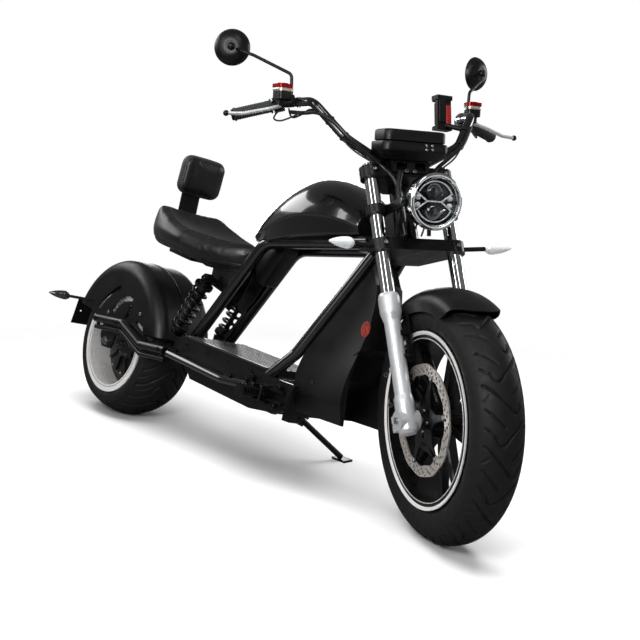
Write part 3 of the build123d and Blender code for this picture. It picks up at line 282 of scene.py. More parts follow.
def roundEdges(piece, width, segments=2, angle=30.0, miter="MITER_SHARP"):
    bevel = piece.modifiers.new("edges", "BEVEL")
    bevel.width = width * mm
    bevel.segments = segments
    bevel.limit_method = "ANGLE"
    bevel.angle_limit = math.radians(angle)
    bevel.miter_outer = miter


def splitSharp(piece, angle):
    split = piece.modifiers.new("split", "EDGE_SPLIT")
    split.split_angle = math.radians(angle)


def dressNode(node, paint, edge):
    mesh = node.data
    mesh.materials.clear()
    mesh.materials.append(finish[paint])
    if mesh.has_custom_normals:
        mesh.attributes.remove(mesh.attributes["custom_normal"])
    mesh.polygons.foreach_set("use_smooth", [True] * len(mesh.polygons))
    weld = node.modifiers.new("weld", "WELD")
    weld.merge_threshold = 0.02 * mm
    if edge > 0:
        roundEdges(node, edge, 2, smoothAngle, "MITER_ARC")
    splitSharp(node, smoothAngle + 4)
    weighted = node.modifiers.new("weighted", "WEIGHTED_NORMAL")
    weighted.keep_sharp = True


for paint, nodes in dressing.items():
    for name, edge in nodes.items():
        dressNode(frame["nodes"][name], paint, edge)
print("CAD nodes dressed")


# Second finishes on one node: each rule is a finish and a test on a face's centre and normal
def paintFaces(nodeName, space, rules):
    mesh = frame["nodes"][nodeName].data
    slots = {}
    for face in mesh.polygons:
        spot = roomTo[space] @ face.center
        turned = (roomTo[space].to_3x3() @ face.normal).normalized()
        for paint, test in rules:
            if test(spot, turned):
                if paint not in slots:
                    mesh.materials.append(finish[paint])
                    slots[paint] = len(mesh.materials) - 1
                face.material_index = slots[paint]
                break


def radiusFrom(spot, axle):
    return math.hypot(spot.x - axle.x, spot.z - axle.z)


lampAt = Vector((1321, 0, 833))
paintFaces("rear_rim", "bike", [
    ("turned", lambda p, n: abs(p.y) > 91 and radiusFrom(p, rearAxle) > 140),
    ("barrel", lambda p, n: radiusFrom(p, rearAxle) > 144),
    ("cast", lambda p, n: abs(p.y) < 24 and radiusFrom(p, rearAxle) < 144),
])
paintFaces("headlight_shell", "fork", [
    ("projector", lambda p, n: p.x > 1300 and math.hypot(p.y, abs(p.z - lampAt.z) - 25) < 17),
    ("chrome", lambda p, n: p.x > 1303 and math.hypot(p.y, p.z - lampAt.z) > 60),
    ("bowl", lambda p, n: p.x > 1281 and math.hypot(p.y, p.z - lampAt.z) > 30 and n.x > -0.2),
])
paintFaces("front_signals", "fork", [("cast", lambda p, n: abs(p.y) < 188)])
paintFaces("rear_signals", "bike", [("cast", lambda p, n: abs(p.y) < 172)])
paintFaces("brake_disc", "fork", [("cast", lambda p, n: radiusFrom(p, frontAxle) < 94)])
paintFaces("mirrors", "fork", [("mirror", lambda p, n: n.x < -0.85 and p.z > 1170 and p.x < 775)])
paintFaces("levers", "fork", [("cast", lambda p, n: abs(p.y) > 436)])
print("face finishes set")


# Adds a piece drawn in its body's frame. Its edges sharper than split degrees stay crisp.
def addPiece(name, shape, paint, body, split=35, standsFor=None, smooth=True, closed=True):
    points, faces = shape
    place = frameOf[spaceOf[body]]
    mesh = bpy.data.meshes.new(name)
    mesh.from_pydata([tuple(place @ Vector(p)) for p in points], [], faces)
    if closed:
        # one watertight skin, with every face looking outward
        skinned = bmesh.new()
        skinned.from_mesh(mesh)
        bmesh.ops.remove_doubles(skinned, verts=skinned.verts[:], dist=0.001 * mm)
        bmesh.ops.recalc_face_normals(skinned, faces=skinned.faces[:])
        skinned.to_mesh(mesh)
        skinned.free()
    mesh.polygons.foreach_set("use_smooth", [smooth] * len(mesh.polygons))
    mesh.update()
    mesh.materials.append(finish[paint])
    piece = bpy.data.objects.new(name, mesh)
    bpy.context.scene.collection.objects.link(piece)
    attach(piece, body)
    if split:
        splitSharp(piece, split)
    if standsFor:
        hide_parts(standsFor)
    return piece


# Two unit vectors square to a direction, and the direction itself
def axesFor(direction):
    w = Vector(direction).normalized()
    u = w.cross(Vector((0, 0, 1)))
    if u.length < 0.05:
        u = w.cross(Vector((0, 1, 0)))
    u.normalize()
    return u, w.cross(u), w


# Faces over rings of equal count: the last ring meets the first, or the ends are capped
def skin(rings, around, closed=False):
    faces = []
    for i in range(rings if closed else rings - 1):
        j = (i + 1) % rings
        for k in range(around):
            m = (k + 1) % around
            faces.append((i * around + k, i * around + m, j * around + m, j * around + k))
    if not closed:
        faces += [tuple(range(around))[::-1], tuple(range((rings - 1) * around, rings * around))]
    return faces


# Rings of radius and height turned about a direction; a third value makes a ring six-sided
def lathe(profile, at, direction, steps=32, closed=False):
    u, v, w = axesFor(direction)
    points = []
    for radius, height, *flats in profile:
        for k in range(steps):
            a = 2 * math.pi * k / steps
            reach = radius
            if flats:
                reach *= math.cos(math.pi / 6) / math.cos(a % (math.pi / 3) - math.pi / 6)
            points.append(Vector(at) + w * height + (u * math.cos(a) + v * math.sin(a)) * reach)
    return points, skin(len(profile), steps, closed)


def joinShapes(shapes):
    points = []
    faces = []
    for somePoints, someFaces in shapes:
        start = len(points)
        points += list(somePoints)
        faces += [tuple(start + i for i in face) for face in someFaces]
    return points, faces


def onSide(point, side):
    return Vector((point[0], point[1] * side, point[2]))


# Smooth curve through a few points, in the plane or in space
def smoothLine(line, spacing, least=2):
    line = [np.array(p, float) for p in line]
    padded = [2 * line[0] - line[1]] + line + [2 * line[-1] - line[-2]]
    found = []
    for a, b, c, d in zip(padded, padded[1:], padded[2:], padded[3:]):
        count = max(least, int(np.linalg.norm(c - b) / spacing))
        for k in range(count):
            t = k / count
            found.append(0.5 * (2 * b + (c - a) * t + (2 * a - 5 * b + 4 * c - d) * t**2
                                + (3 * b - a - 3 * c + d) * t**3))
    return found + [line[-1]]


def pick(line, count):
    return [line[int(round(k))] for k in np.linspace(0, len(line) - 1, count)]


# Round tube along a smoothed route, with optional corrugations of a pitch and depth
def tube(route, radius, steps=10, ribs=None):
    line = [Vector(p) for p in smoothLine(route, 3 if ribs else 6, 3)]
    points = []
    u = None
    travelled = 0.0
    for i, spot in enumerate(line):
        ahead = (line[min(i + 1, len(line) - 1)] - line[max(i - 1, 0)]).normalized()
        u = axesFor(ahead)[0] if u is None else u
        u = (u - ahead * u.dot(ahead)).normalized()
        v = ahead.cross(u)
        travelled += (spot - line[max(i - 1, 0)]).length
        r = radius + (ribs[1] * math.cos(2 * math.pi * travelled / ribs[0]) if ribs else 0)
        for k in range(steps):
            a = 2 * math.pi * k / steps
            points.append(spot + (u * math.cos(a) + v * math.sin(a)) * r)
    return points, skin(len(line), steps)


# Socket cap screw: a chamfered head with a six-sided socket
def boltHead(at, direction, radius, height):
    return lathe([(radius, -0.4), (radius, height * 0.8), (radius * 0.86, height),
                  (radius * 0.52, height, "flats"), (radius * 0.52, height * 0.35, "flats")], at, direction, 24)


# Tyres: fine tread meshes that stand for the plain CAD rings
frontTyre = {
    "node": "front_tyre", "body": "front_wheel", "axle": frontAxle,
    "outer": 304.0, "half": 64.0, "crown": 68.0, "seat": 203.5, "flange": 218.0, "flangeHalf": 53.6,
    "pitches": 13, "stepsPerPitch": 58,
    # each groove: width, depth, then its line as share of the pitch and millimetres from the middle
    "grooves": [
        (5.0, 4.2, [(0.0, -57), (-0.06, -44), (-0.2, -22), (-0.38, 2), (-0.47, 15), (-0.44, 26), (-0.32, 33)]),
        (4.2, 3.4, [(-0.4, -56), (-0.48, -42), (-0.6, -24), (-0.68, -12)]),
        (4.2, 3.2, [(-0.7, -57), (-0.77, -45), (-0.88, -29)]),
        (3.0, 2.4, [(-0.27, -60), (-0.23, -52), (-0.17, -44)]),
    ],
    # moulded rings on the wall: radius, height, half width
    "sideRings": [(226, 1.2, 3.0), (233, 0.5, 1.6), (262, 0.6, 1.6)],
}
rearTyre = {
    "node": "rear_tyre", "body": "rear_wheel", "axle": rearAxle,
    "outer": 236.0, "half": 98.0, "crown": 150.0, "seat": 152.7, "flange": 170.0, "flangeHalf": 91.6,
    "pitches": 11, "stepsPerPitch": 54,
    "grooves": [
        (6.5, 4.8, [(0.0, -92), (0.12, -70), (0.36, -38), (0.6, -10), (0.7, 6), (0.66, 20), (0.5, 30)]),
        (5.0, 4.0, [(0.5, -90), (0.62, -66), (0.84, -36), (0.94, -22)]),
        (5.0, 3.6, [(0.84, -86), (0.94, -64), (1.12, -40)]),
        (4.0, 3.0, [(0.26, -97), (0.3, -84), (0.38, -72)]),
    ],
    "sideRings": [(178, 1.0, 2.6), (185, 0.5, 1.6)],
}
tyreMesh = {"wall": 3.2, "tread": 2.5, "shoulder": 6.0}


# Arc through three profile points: radius, y and the outward normal of each spot on it
def throughThree(a, b, c, spacing):
    (ax, ay), (bx, by), (cx, cy) = a, b, c
    d = 2 * (ax * (by - cy) + bx * (cy - ay) + cx * (ay - by))
    sa, sb, sc = ax * ax + ay * ay, bx * bx + by * by, cx * cx + cy * cy
    ox = (sa * (by - cy) + sb * (cy - ay) + sc * (ay - by)) / d
    oy = (sa * (cx - bx) + sb * (ax - cx) + sc * (bx - ax)) / d
    r = math.hypot(ax - ox, ay - oy)
    first = math.atan2(ay - oy, ax - ox)
    sweep = (math.atan2(cy - oy, cx - ox) - first + math.pi) % (2 * math.pi) - math.pi
    count = max(3, int(abs(sweep) * r / spacing))
    turns = [first + sweep * k / count for k in range(count + 1)]
    return [(ox + r * math.cos(t), oy + r * math.sin(t), math.cos(t), math.sin(t)) for t in turns]


# Depth of the tread over one pitch; along and across are grids in millimetres
def grooveDepth(tyre, pitch, along, across):
    depth = np.zeros_like(along)
    for width, deep, line in tyre["grooves"]:
        for side, shift in ((1, 0.0), (-1, 0.5)):
            curve = smoothLine([((s + shift) * pitch, v * side) for s, v in line], 4)
            nearest = np.full(along.shape, 1e9)
            for a, b in zip(curve[:-1], curve[1:]):
                run = b - a
                for lap in (-2, -1, 0, 1):
                    dx = along - a[0] - lap * pitch
                    dy = across - a[1]
                    t = np.clip((dx * run[0] + dy * run[1]) / (run @ run), 0, 1)
                    nearest = np.minimum(nearest, np.hypot(dx - t * run[0], dy - t * run[1]))
            depth = np.maximum(depth, deep * np.clip((width / 2 + 0.9 - nearest) / 1.6, 0, 1))
    return depth


def tyreShape(tyre):
    shoulderY = tyre["half"] - tyreMesh["shoulder"]
    shoulderR = tyre["outer"] - tyre["crown"] + math.sqrt(tyre["crown"] ** 2 - shoulderY**2)
    bead = (tyre["flange"], -tyre["flangeHalf"])
    middle = ((shoulderR + tyre["flange"]) / 2, -tyre["half"])
    wall = throughThree(bead, middle, (shoulderR, -shoulderY), tyreMesh["wall"])
    crown = throughThree((shoulderR, -shoulderY), (tyre["outer"], 0), (shoulderR, shoulderY), tyreMesh["tread"])
    rows = wall[:-1] + crown + [(r, -y, nr, -ny) for r, y, nr, ny in wall[-2::-1]]
    reach, width, outR, outY = np.array(rows).T
    onCrown = np.zeros(len(rows), bool)
    onCrown[len(wall) - 1:len(wall) - 1 + len(crown)] = True
    pitch = 2 * math.pi * tyre["outer"] / tyre["pitches"]
    steps = tyre["pitches"] * tyre["stepsPerPitch"]
    along, across = np.meshgrid(np.arange(tyre["stepsPerPitch"]) * pitch / tyre["stepsPerPitch"],
                                np.arcsin(np.clip(width / tyre["crown"], -1, 1)) * tyre["crown"], indexing="ij")
    depth = np.tile(grooveDepth(tyre, pitch, along, across) * onCrown, (tyre["pitches"], 1))
    for ringR, height, ringHalf in tyre["sideRings"]:
        depth -= np.where(onCrown, 0, height * np.clip(1 - np.abs(reach - ringR) / ringHalf, 0, 1))
    # a foot on both sides closes the section towards the rim
    seat = np.full((steps, 1), tyre["seat"])
    foot = np.full((steps, 1), tyre["flangeHalf"])
    r = np.concatenate([seat, reach - outR * depth, seat], axis=1)
    y = np.concatenate([-foot, width - outY * depth, foot], axis=1)
    turn = (np.arange(steps) * 2 * math.pi / steps)[:, None]
    points = np.stack([r * np.cos(turn) + tyre["axle"].x, y, r * np.sin(turn) + tyre["axle"].z], axis=-1)
    return points.reshape(-1, 3), skin(steps, r.shape[1], closed=True)


for tyre, name in ((frontTyre, "frontTreadTyre"), (rearTyre, "rearTreadTyre")):
    addPiece(name, tyreShape(tyre), "tyre", tyre["body"], split=50, standsFor=tyre["node"])
print("tyres cut")

# Saddle and backrest: padded vinyl over foam
saddle = {
    # x, base height, half width of base, bulge height, half width there, ridge height, half width, middle height
    "rows": [
        (122, 608, 64, 656, 88, 708, 70, 713), (136, 600, 94, 648, 118, 722, 96, 722),
        (164, 595, 116, 641, 140, 720, 116, 705), (212, 590, 126, 633, 153, 698, 128, 674),
        (270, 584, 130, 623, 158, 674, 134, 651), (340, 573, 122, 609, 153, 656, 130, 635),
        (410, 563, 107, 600, 136, 645, 112, 627), (480, 560, 82, 600, 106, 640, 83, 626),
        (535, 561, 58, 604, 74, 641, 56, 633), (565, 563, 40, 606, 46, 642, 34, 640),
        (586, 568, 34, 608, 38, 638, 28, 640),
    ],
    "stations": [(137, 172, 9), (180, 560, 40), (566, 586, 5)],
    "from": 137, "to": 586, "bowlFrom": 172, "bowlTo": 560,
    "cap": 4.0, "voxel": 5.0, "lowSeam": (17, 1.6, 3.4), "bowlSeam": (10, 0.8, 3.0),
}


# Row values at x, smoothed through the table
def between(rows, x):
    i = next((k for k, row in enumerate(rows) if row[0] > x), len(rows) - 1)
    i = max(1, i)
    b, c = rows[i - 1], rows[i]
    a = rows[i - 2] if i > 1 else b
    d = rows[i + 1] if i + 1 < len(rows) else c
    width = c[0] - b[0]
    t = (x - b[0]) / width
    found = []
    for k in range(1, len(b)):
        slopeB = (c[k] - a[k]) / (c[0] - a[0]) * width
        slopeC = (d[k] - b[k]) / (d[0] - b[0]) * width
        found.append((2 * t**3 - 3 * t**2 + 1) * b[k] + (t**3 - 2 * t**2 + t) * slopeB
                     + (-2 * t**3 + 3 * t**2) * c[k] + (t**3 - t**2) * slopeC)
    return found


# A cross-section at x, from half of it
def mirrored(x, half):
    return [(x, y, z) for y, z in half] + [(x, -y, z) for y, z in half[-2:0:-1]]


def saddleShape():
    stations = np.concatenate([np.linspace(*run) for run in saddle["stations"]])
    points = []
    for x in stations:
        base, baseHalf, bulge, bulgeHalf, ridge, ridgeHalf, middle = between(saddle["rows"], x)
        drop = ridge - middle
        points += mirrored(x, pick(smoothLine([
            (0, base), (baseHalf * 0.55, base), (baseHalf, base + 5), (bulgeHalf, bulge),
            (ridgeHalf + 14, ridge - 12), (ridgeHalf, ridge), (ridgeHalf - 18, ridge - drop * 0.3),
            (ridgeHalf * 0.42, ridge - drop * 0.86), (0, middle),
        ], 9), 22))
    return points, skin(len(stations), 42)


# Bakes a piece's modifiers into its mesh
def takeShape(piece):
    bpy.context.view_layer.update()
    mesh = bpy.data.meshes.new_from_object(piece.evaluated_get(bpy.context.evaluated_depsgraph_get()))
    piece.modifiers.clear()
    old = piece.data
    piece.data = mesh
    bpy.data.meshes.remove(old)


def placesIn(mesh):
    places = np.empty(len(mesh.vertices) * 3)
    mesh.vertices.foreach_get("co", places)
    return places.reshape(-1, 3)


# Voxel remesh, cloth under pressure with each point's travel capped in millimetres, then a finer skin
def stuff(piece, voxel, cap):
    remesh = piece.modifiers.new("voxels", "REMESH")
    remesh.mode = "VOXEL"
    remesh.voxel_size = voxel * mm
    remesh.use_smooth_shade = True
    soften = piece.modifiers.new("soften", "SMOOTH")
    soften.iterations = 4
    takeShape(piece)
    before = placesIn(piece.data)
    cloth = piece.modifiers.new("cloth", "CLOTH")
    cloth.settings.use_pressure = True
    cloth.settings.uniform_pressure_force = 4
    cloth.settings.effector_weights.gravity = 0
    cloth.collision_settings.use_collision = False
    for step in range(1, 21):
        bpy.context.scene.frame_set(step)
    swollen = piece.evaluated_get(bpy.context.evaluated_depsgraph_get()).to_mesh()
    travel = placesIn(swollen) - before
    piece.modifiers.clear()
    bpy.context.scene.frame_set(1)
    far = np.linalg.norm(travel, axis=1, keepdims=True)
    travel *= np.minimum(1, cap * mm / np.maximum(far, 1e-9))
    piece.data.vertices.foreach_set("co", (before + travel).ravel())
    piece.data.update()
    finer = piece.modifiers.new("finer", "SUBSURF")
    finer.levels = finer.render_levels = 1
    takeShape(piece)


# Presses a seam where awayFrom, the signed millimetres from it, is near nought
def sinkSeam(piece, awayFrom, depth, width):
    for vertex in piece.data.vertices:
        away = awayFrom(roomTo["bike"] @ vertex.co)
        if abs(away) < width:
            vertex.co -= vertex.normal * depth * mm * (0.5 + 0.5 * math.cos(math.pi * away / width))
    piece.data.update()


def fromLowSeam(p):
    base = between(saddle["rows"], min(max(p.x, saddle["from"]), saddle["to"]))[0]
    return p.z - (base + saddle["lowSeam"][0])


def fromBowlSeam(p):
    row = between(saddle["rows"], min(max(p.x, saddle["bowlFrom"]), saddle["bowlTo"]))
    bulge, ridgeHalf = row[2], row[5]
    if p.x < saddle["bowlFrom"] - 4 or p.z < bulge:
        return 99
    return abs(p.y) - (ridgeHalf - saddle["bowlSeam"][0])


saddlePiece = addPiece("saddleCover", saddleShape(), "vinyl", "chassis", split=0, standsFor="seat")
stuff(saddlePiece, saddle["voxel"], saddle["cap"])
sinkSeam(saddlePiece, fromLowSeam, *saddle["lowSeam"][1:])
sinkSeam(saddlePiece, fromBowlSeam, *saddle["bowlSeam"][1:])

backrest = {
    "at": (167.2, 0, 836), "tilt": 5.7, "size": (54, 163, 130), "round": 24, "wider": 8, "crown": 3,
    "cap": 3.0, "voxel": 4.0, "seamAt": 15.0, "seam": (1.4, 2.6), "cuts": 15,
}
backrestTurn = Matrix.Translation(backrest["at"]) @ Matrix.Rotation(math.radians(backrest["tilt"]), 4, "Y")


def backrestShape():
    length, width, height = backrest["size"]
    corner = backrest["round"]
    wide = corner + backrest["wider"]
    core = (length / 2 - corner, width / 2 - wide, height / 2 - wide)
    shape = bmesh.new()
    bmesh.ops.create_cube(shape, size=1)
    bmesh.ops.subdivide_edges(shape, edges=shape.edges[:], cuts=backrest["cuts"], use_grid_fill=True)
    points = []
    for vertex in shape.verts:
        p = Vector((vertex.co.x * length, vertex.co.y * width, vertex.co.z * height))
        inner = Vector([max(-c, min(c, q)) for q, c in zip(p, core)])
        away = p - inner
        away = Vector((away.x, away.y * corner / wide, away.z * corner / wide))
        if away.length > corner:
            away = away.normalized() * corner
        p = inner + Vector((away.x, away.y * wide / corner, away.z * wide / corner))
        # the front and back panels are crowned
        crown = backrest["crown"] * (1 - (2 * p.y / width) ** 2) * (1 - (2 * p.z / height) ** 2)
        p.x += math.copysign(crown, p.x)
        points.append(backrestTurn @ p)
    faces = [tuple(v.index for v in face.verts) for face in shape.faces]
    shape.free()
    return points, faces


def fromBackrestMiddle(p):
    return abs((backrestTurn.inverted() @ p).x)


backrestPiece = addPiece("backrestPad", backrestShape(), "vinyl", "chassis", split=0,
                         standsFor="backrest_pad")
stuff(backrestPiece, backrest["voxel"], backrest["cap"])
sinkSeam(backrestPiece, lambda p: fromBackrestMiddle(p) - backrest["seamAt"], *backrest["seam"])
backrestPiece.data.materials.append(finish["band"])
for face in backrestPiece.data.polygons:
    if fromBackrestMiddle(roomTo["bike"] @ face.center) < backrest["seamAt"]:
        face.material_index = 1
print("saddle and backrest stuffed")

# Headlight: light guides, projector glasses and a domed lens
lamp = {
    "ringFront": 1312.0, "ringRadius": 51.0, "ringThick": 1.9, "ringArcs": ((28, 152), (208, 332)),
    "barFront": 1308.5, "barHalf": 1.9, "barInner": 20, "barOuter": (49, 21.5), "barRise": 2,
    "blocks": (1309, 45, 9), "projectorFront": 1305, "projectorRise": 25.0, "projectorRadius": 16.5,
    "lensFront": 1325, "lensRadius": 61.5, "lensRise": 9.0, "lensWall": 2.0,
}
fourWays = [(y, z) for y in (-1, 1) for z in (-1, 1)]
lampWay = (1, 0, 0)


# Two halo arcs, open where the spars reach the rim
def lampArcs():
    shapes = []
    for first, last in lamp["ringArcs"]:
        turns = [math.radians(first + (last - first) * k / 24) for k in range(25)]
        shapes.append(tube([(lamp["ringFront"], lamp["ringRadius"] * math.cos(a),
                             lampAt.z + lamp["ringRadius"] * math.sin(a)) for a in turns], lamp["ringThick"], 12))
    return joinShapes(shapes)


# A bar between the projectors and four spars with chamfered fronts
def lampBars():
    inner = lamp["barInner"]
    outY, outZ = lamp["barOuter"]
    runs = [((-inner, 0), (inner, 0))] + [((y * inner, 0), (y * outY, z * outZ)) for y, z in fourWays]
    raised = Vector((lamp["barRise"], 0, 0))
    shapes = []
    for (y0, z0), (y1, z1) in runs:
        run = Vector((0, y1 - y0, z1 - z0)).normalized()
        across = Vector((0, -run.z, run.y)) * lamp["barHalf"]
        points = []
        for spot in (Vector((lamp["barFront"], y0, lampAt.z + z0)) - run * 2,
                     Vector((lamp["barFront"], y1, lampAt.z + z1)) + run):
            points += [spot - across, spot - across * 0.6 + raised, spot + across * 0.6 + raised, spot + across]
        shapes.append((points, skin(2, 4)))
    return joinShapes(shapes)


# Short light blocks at the ends of the spars
def lampBlocks():
    x, outY, outZ = lamp["blocks"]
    profile = [(6.2, -8), (6.2, 0), (5.2, 2.2), (0.5, 2.8)]
    return joinShapes([lathe(profile, (x, y * outY, lampAt.z + z * outZ), lampWay, 20) for y, z in fourWays])


# Radius and height from a lens's rim, from its middle outwards
def dome(radius, rise, rows):
    turns = [math.pi / 2 * k / rows for k in range(1, rows + 1)]
    return [(radius * math.sin(a), rise * math.cos(a)) for a in turns]


addPiece("lampHalo", lampArcs(), "guide", "front_end", split=0)
addPiece("lampSpars", lampBars(), "guide", "front_end", split=0, smooth=False)
addPiece("lampBlocks", lampBlocks(), "guide", "front_end", split=0)
for side, word in ((-1, "Low"), (1, "High")):
    flange = lamp["projectorRadius"] + 1.5
    profile = [(0.4, 7.0)] + dome(lamp["projectorRadius"], 7, 9) + [(flange, 0), (flange, -4)]
    glass = lathe(profile, (lamp["projectorFront"], 0, lampAt.z + side * lamp["projectorRise"]), lampWay)
    addPiece("projectorGlass" + word, glass, "projector", "front_end", split=0)
outer = dome(lamp["lensRadius"], lamp["lensRise"], 12)
inner = [(r * (1 - lamp["lensWall"] / lamp["lensRadius"]), h - lamp["lensWall"]) for r, h in outer[::-1]]
profile = [(0.4, lamp["lensRise"])] + outer + inner + [(0.4, lamp["lensRise"] - lamp["lensWall"])]
addPiece("headlightGlass", lathe(profile, (lamp["lensFront"], 0, lampAt.z), lampWay, 64), "clear", "front_end",
         split=40, standsFor="headlight_lens")
print("headlight built")

# Tank cover: crowned shell with a crease along each side
tank = {
    # x, half width, bottom, crease share of the height, crest
    "rows": [
        (594, 56, 654, 0.3, 702), (640, 80, 655, 0.3, 752), (690, 99, 658, 0.3, 794), (770, 119, 670, 0.31, 842),
        (850, 127, 685, 0.33, 865), (920, 124, 694, 0.34, 862), (980, 113, 703, 0.34, 845),
        (1030, 97, 710, 0.33, 816), (1060, 84, 715, 0.3, 792),
    ],
    "tuck": 0.9, "stations": 60,
}


def tankShape():
    stations = np.linspace(tank["rows"][0][0], tank["rows"][-1][0], tank["stations"])
    points = []
    for x in stations:
        half, low, share, crest = between(tank["rows"], x)
        height = crest - low
        crease = low + height * share
        foot = half * tank["tuck"]
        lower = [(0, low + 2), (foot - 12, low), (foot - 3, low + 2), (foot, low + 8),
                 (half * 0.95, crease - height * 0.09), (half * 0.98, crease - 2.5)]
        upper = pick(smoothLine([
            (half, crease), (half * 0.955, crease + height * 0.2), (half * 0.8, crease + height * 0.42),
            (half * 0.52, crease + height * 0.59), (half * 0.2, crest - height * 0.008), (0, crest),
        ], 6), 20)
        points += mirrored(x, lower + upper)
    return points, skin(len(stations), 50)


tankPiece = addPiece("tankShell", tankShape(), "enamel", "chassis", split=0,
                     standsFor="tank_cover")
roundEdges(tankPiece, 2, 3, 40)
splitSharp(tankPiece, 40)

# Display: a slab on a wider case with a tapered underside
display = {
    "x": 1143.0,
    # height, half length, half width, corner radius
    "slab": [(984, 42, 85, 18), (986, 46, 89, 21), (1008, 46, 89, 21), (1012, 44, 87, 20), (1014, 40, 83, 17)],
    "case": [(937, 36, 70, 14), (957, 50, 93, 22), (960, 52, 95, 23), (978, 52, 95, 23), (982, 50, 93, 22),
             (983, 46, 88, 20)],
    "glass": [(1013.6, 38, 80, 15), (1014.6, 37, 79, 14)],
    "buttons": [(26, 965.5), (43, 966.5), (25, 976), (42, 976.5)],
}


# Rounded rectangles stacked in height
def roundedStack(levels, x=0.0, steps=8):
    points = []
    for z, halfX, halfY, corner in levels:
        for quarter, (sx, sy) in enumerate(((1, 1), (-1, 1), (-1, -1), (1, -1))):
            for k in range(steps + 1):
                a = math.pi / 2 * (quarter + k / steps)
                points.append((x + sx * (halfX - corner) + corner * math.cos(a),
                               sy * (halfY - corner) + corner * math.sin(a), z))
    return points, skin(len(levels), 4 * (steps + 1))


displayParts = [("displaySlab", "slab", "abs", "display"), ("displayCase", "case", "abs", "display_base"),
                ("displayGlass", "glass", "display", None)]
for name, key, paint, node in displayParts:
    addPiece(name, roundedStack(display[key], display["x"]), paint, "front_end", standsFor=node)

# Grips: ribbed rubber sleeves with a flange, and black bar ends
grip = {"tip": Vector((866, 400, 1037)), "inner": Vector((900, 268, 1077)), "length": 106.0, "ribs": 17}
gripWay = (grip["inner"] - grip["tip"]).normalized()
gripProfile = [(13, 0), (17.5, 0.6), (18.4, 2.5), (18.4, 5.5), (17, 7)]
ribPitch = (grip["length"] - 22) / grip["ribs"]
for rib in range(grip["ribs"]):
    start = 8 + rib * ribPitch
    gripProfile += [(15.9, start), (15.9, start + ribPitch * 0.35), (16.9, start + ribPitch * 0.5),
                    (16.9, start + ribPitch * 0.85)]
gripProfile += [(16.4, 102), (20, 103.5), (20, 107), (13, 108.5)]
capProfile = [(15.5, 3), (15.5, 8), (12.5, 11), (0.5, 11.5)]
sleeves = [lathe(gripProfile, onSide(grip["tip"] - gripWay * 4, side), onSide(gripWay, side), 40) for side in (1, -1)]
addPiece("gripSleeves", joinShapes(sleeves), "grip", "front_end", split=45, standsFor="grips")
caps = [lathe(capProfile, onSide(grip["tip"], side), onSide(-gripWay, side)) for side in (1, -1)]
addPiece("barEndCaps", joinShapes(caps), "blackBolt", "front_end")

# Bright rings turned into the black rim, and a thin black ring on the rear lip as painted shade of a groove
rimRings = [
    # name, body, paint, axle, section of radius and distance from the middle
    ("frontRimEdge", "front_wheel", "turned", frontAxle,
     [(208.4, 59.6), (208.8, 60.7), (215.9, 63.8), (217.3, 63.4), (217.6, 59.6)]),
    ("frontRimLine", "front_wheel", "turned", frontAxle,
     [(198.8, 59.6), (199.2, 60.6), (200.2, 60.8), (200.6, 59.6)]),
    # a black ring that paints the shade of a groove on the rear lip
    ("rearRimShadeLine", "rear_wheel", "blackBolt", rearAxle,
     [(152, 97.6), (152.3, 98.5), (153.5, 98.5), (153.8, 97.6)]),
]
for name, body, paint, axle, section in rimRings:
    shapes = [lathe(section, axle, (0, side, 0), 160, closed=True) for side in (-1, 1)]
    addPiece(name, joinShapes(shapes), paint, body)


# A flat plate with holes, filled by a 2D curve
def plateShape(loops, thick, place):
    curve = bpy.data.curves.new("plateOutline", "CURVE")
    curve.dimensions = "2D"
    curve.fill_mode = "BOTH"
    curve.extrude = thick / 2
    for loop in loops:
        spline = curve.splines.new("POLY")
        spline.points.add(len(loop) - 1)
        for k, (u, v) in enumerate(loop):
            spline.points[k].co = (u, v, 0, 1)
        spline.use_cyclic_u = True
    holder = bpy.data.objects.new("plateOutline", curve)
    mesh = bpy.data.meshes.new_from_object(holder)
    points = [place @ v.co for v in mesh.vertices]
    faces = [tuple(f.vertices) for f in mesh.polygons]
    bpy.data.objects.remove(holder)
    bpy.data.curves.remove(curve)
    bpy.data.meshes.remove(mesh)
    return points, faces


def inPolar(reach, a):
    return (reach * math.cos(a), reach * math.sin(a))


def ringLoop(radius, steps, centre=(0, 0), wave=0.0, waves=0):
    turns = [2 * math.pi * k / steps for k in range(steps)]
    spots = [inPolar(radius + wave * math.cos(waves * a), a) for a in turns]
    return [(centre[0] + u, centre[1] + v) for u, v in spots]


# Brake disc: pierced steel ring on a black carrier with six arms
disc = {
    "y": -60.0, "thick": 4.0, "outer": (137.8, 1.2), "inner": (110.8, 2.0), "waves": 12, "bore": 17.5,
    # row radius, holes, turn in holes, hole radius
    "rows": [(118, 30, 0.0, 3.9), (125.2, 30, 0.34, 4.2), (131.7, 30, 0.67, 3.5)],
    # one arm's outline: distance out, and to the side
    "arm": [(45, -26), (66, -10.5), (100, -6), (107, -9), (114.5, -8), (114.5, 8), (107, 9), (100, 6),
            (66, 10.5), (45, 26)],
    "armTurn": 15, "holeAt": 38, "holeRadius": 6, "carrierOut": 0.6,
}
standUp = Matrix.Rotation(math.radians(90), 4, "X")
discPlace = Matrix.Translation(frontAxle + Vector((0, disc["y"], 0))) @ standUp
loops = [ringLoop(disc["outer"][0], 180, wave=disc["outer"][1], waves=disc["waves"]),
         ringLoop(disc["inner"][0], 120, wave=disc["inner"][1], waves=disc["waves"])]
for row, holes, turned, holeRadius in disc["rows"]:
    loops += [ringLoop(holeRadius, 10, inPolar(row, 2 * math.pi * (hole + turned) / holes)) for hole in range(holes)]
addPiece("discRotor", plateShape(loops, disc["thick"], discPlace), "disc", "front_wheel",
         standsFor="brake_disc")
armTurns = [math.radians(60 * arm + disc["armTurn"]) for arm in range(6)]
loops = [[inPolar(math.hypot(reach, offset), turned + math.atan2(offset, reach))
          for turned in armTurns for reach, offset in disc["arm"]], ringLoop(disc["bore"], 48)]
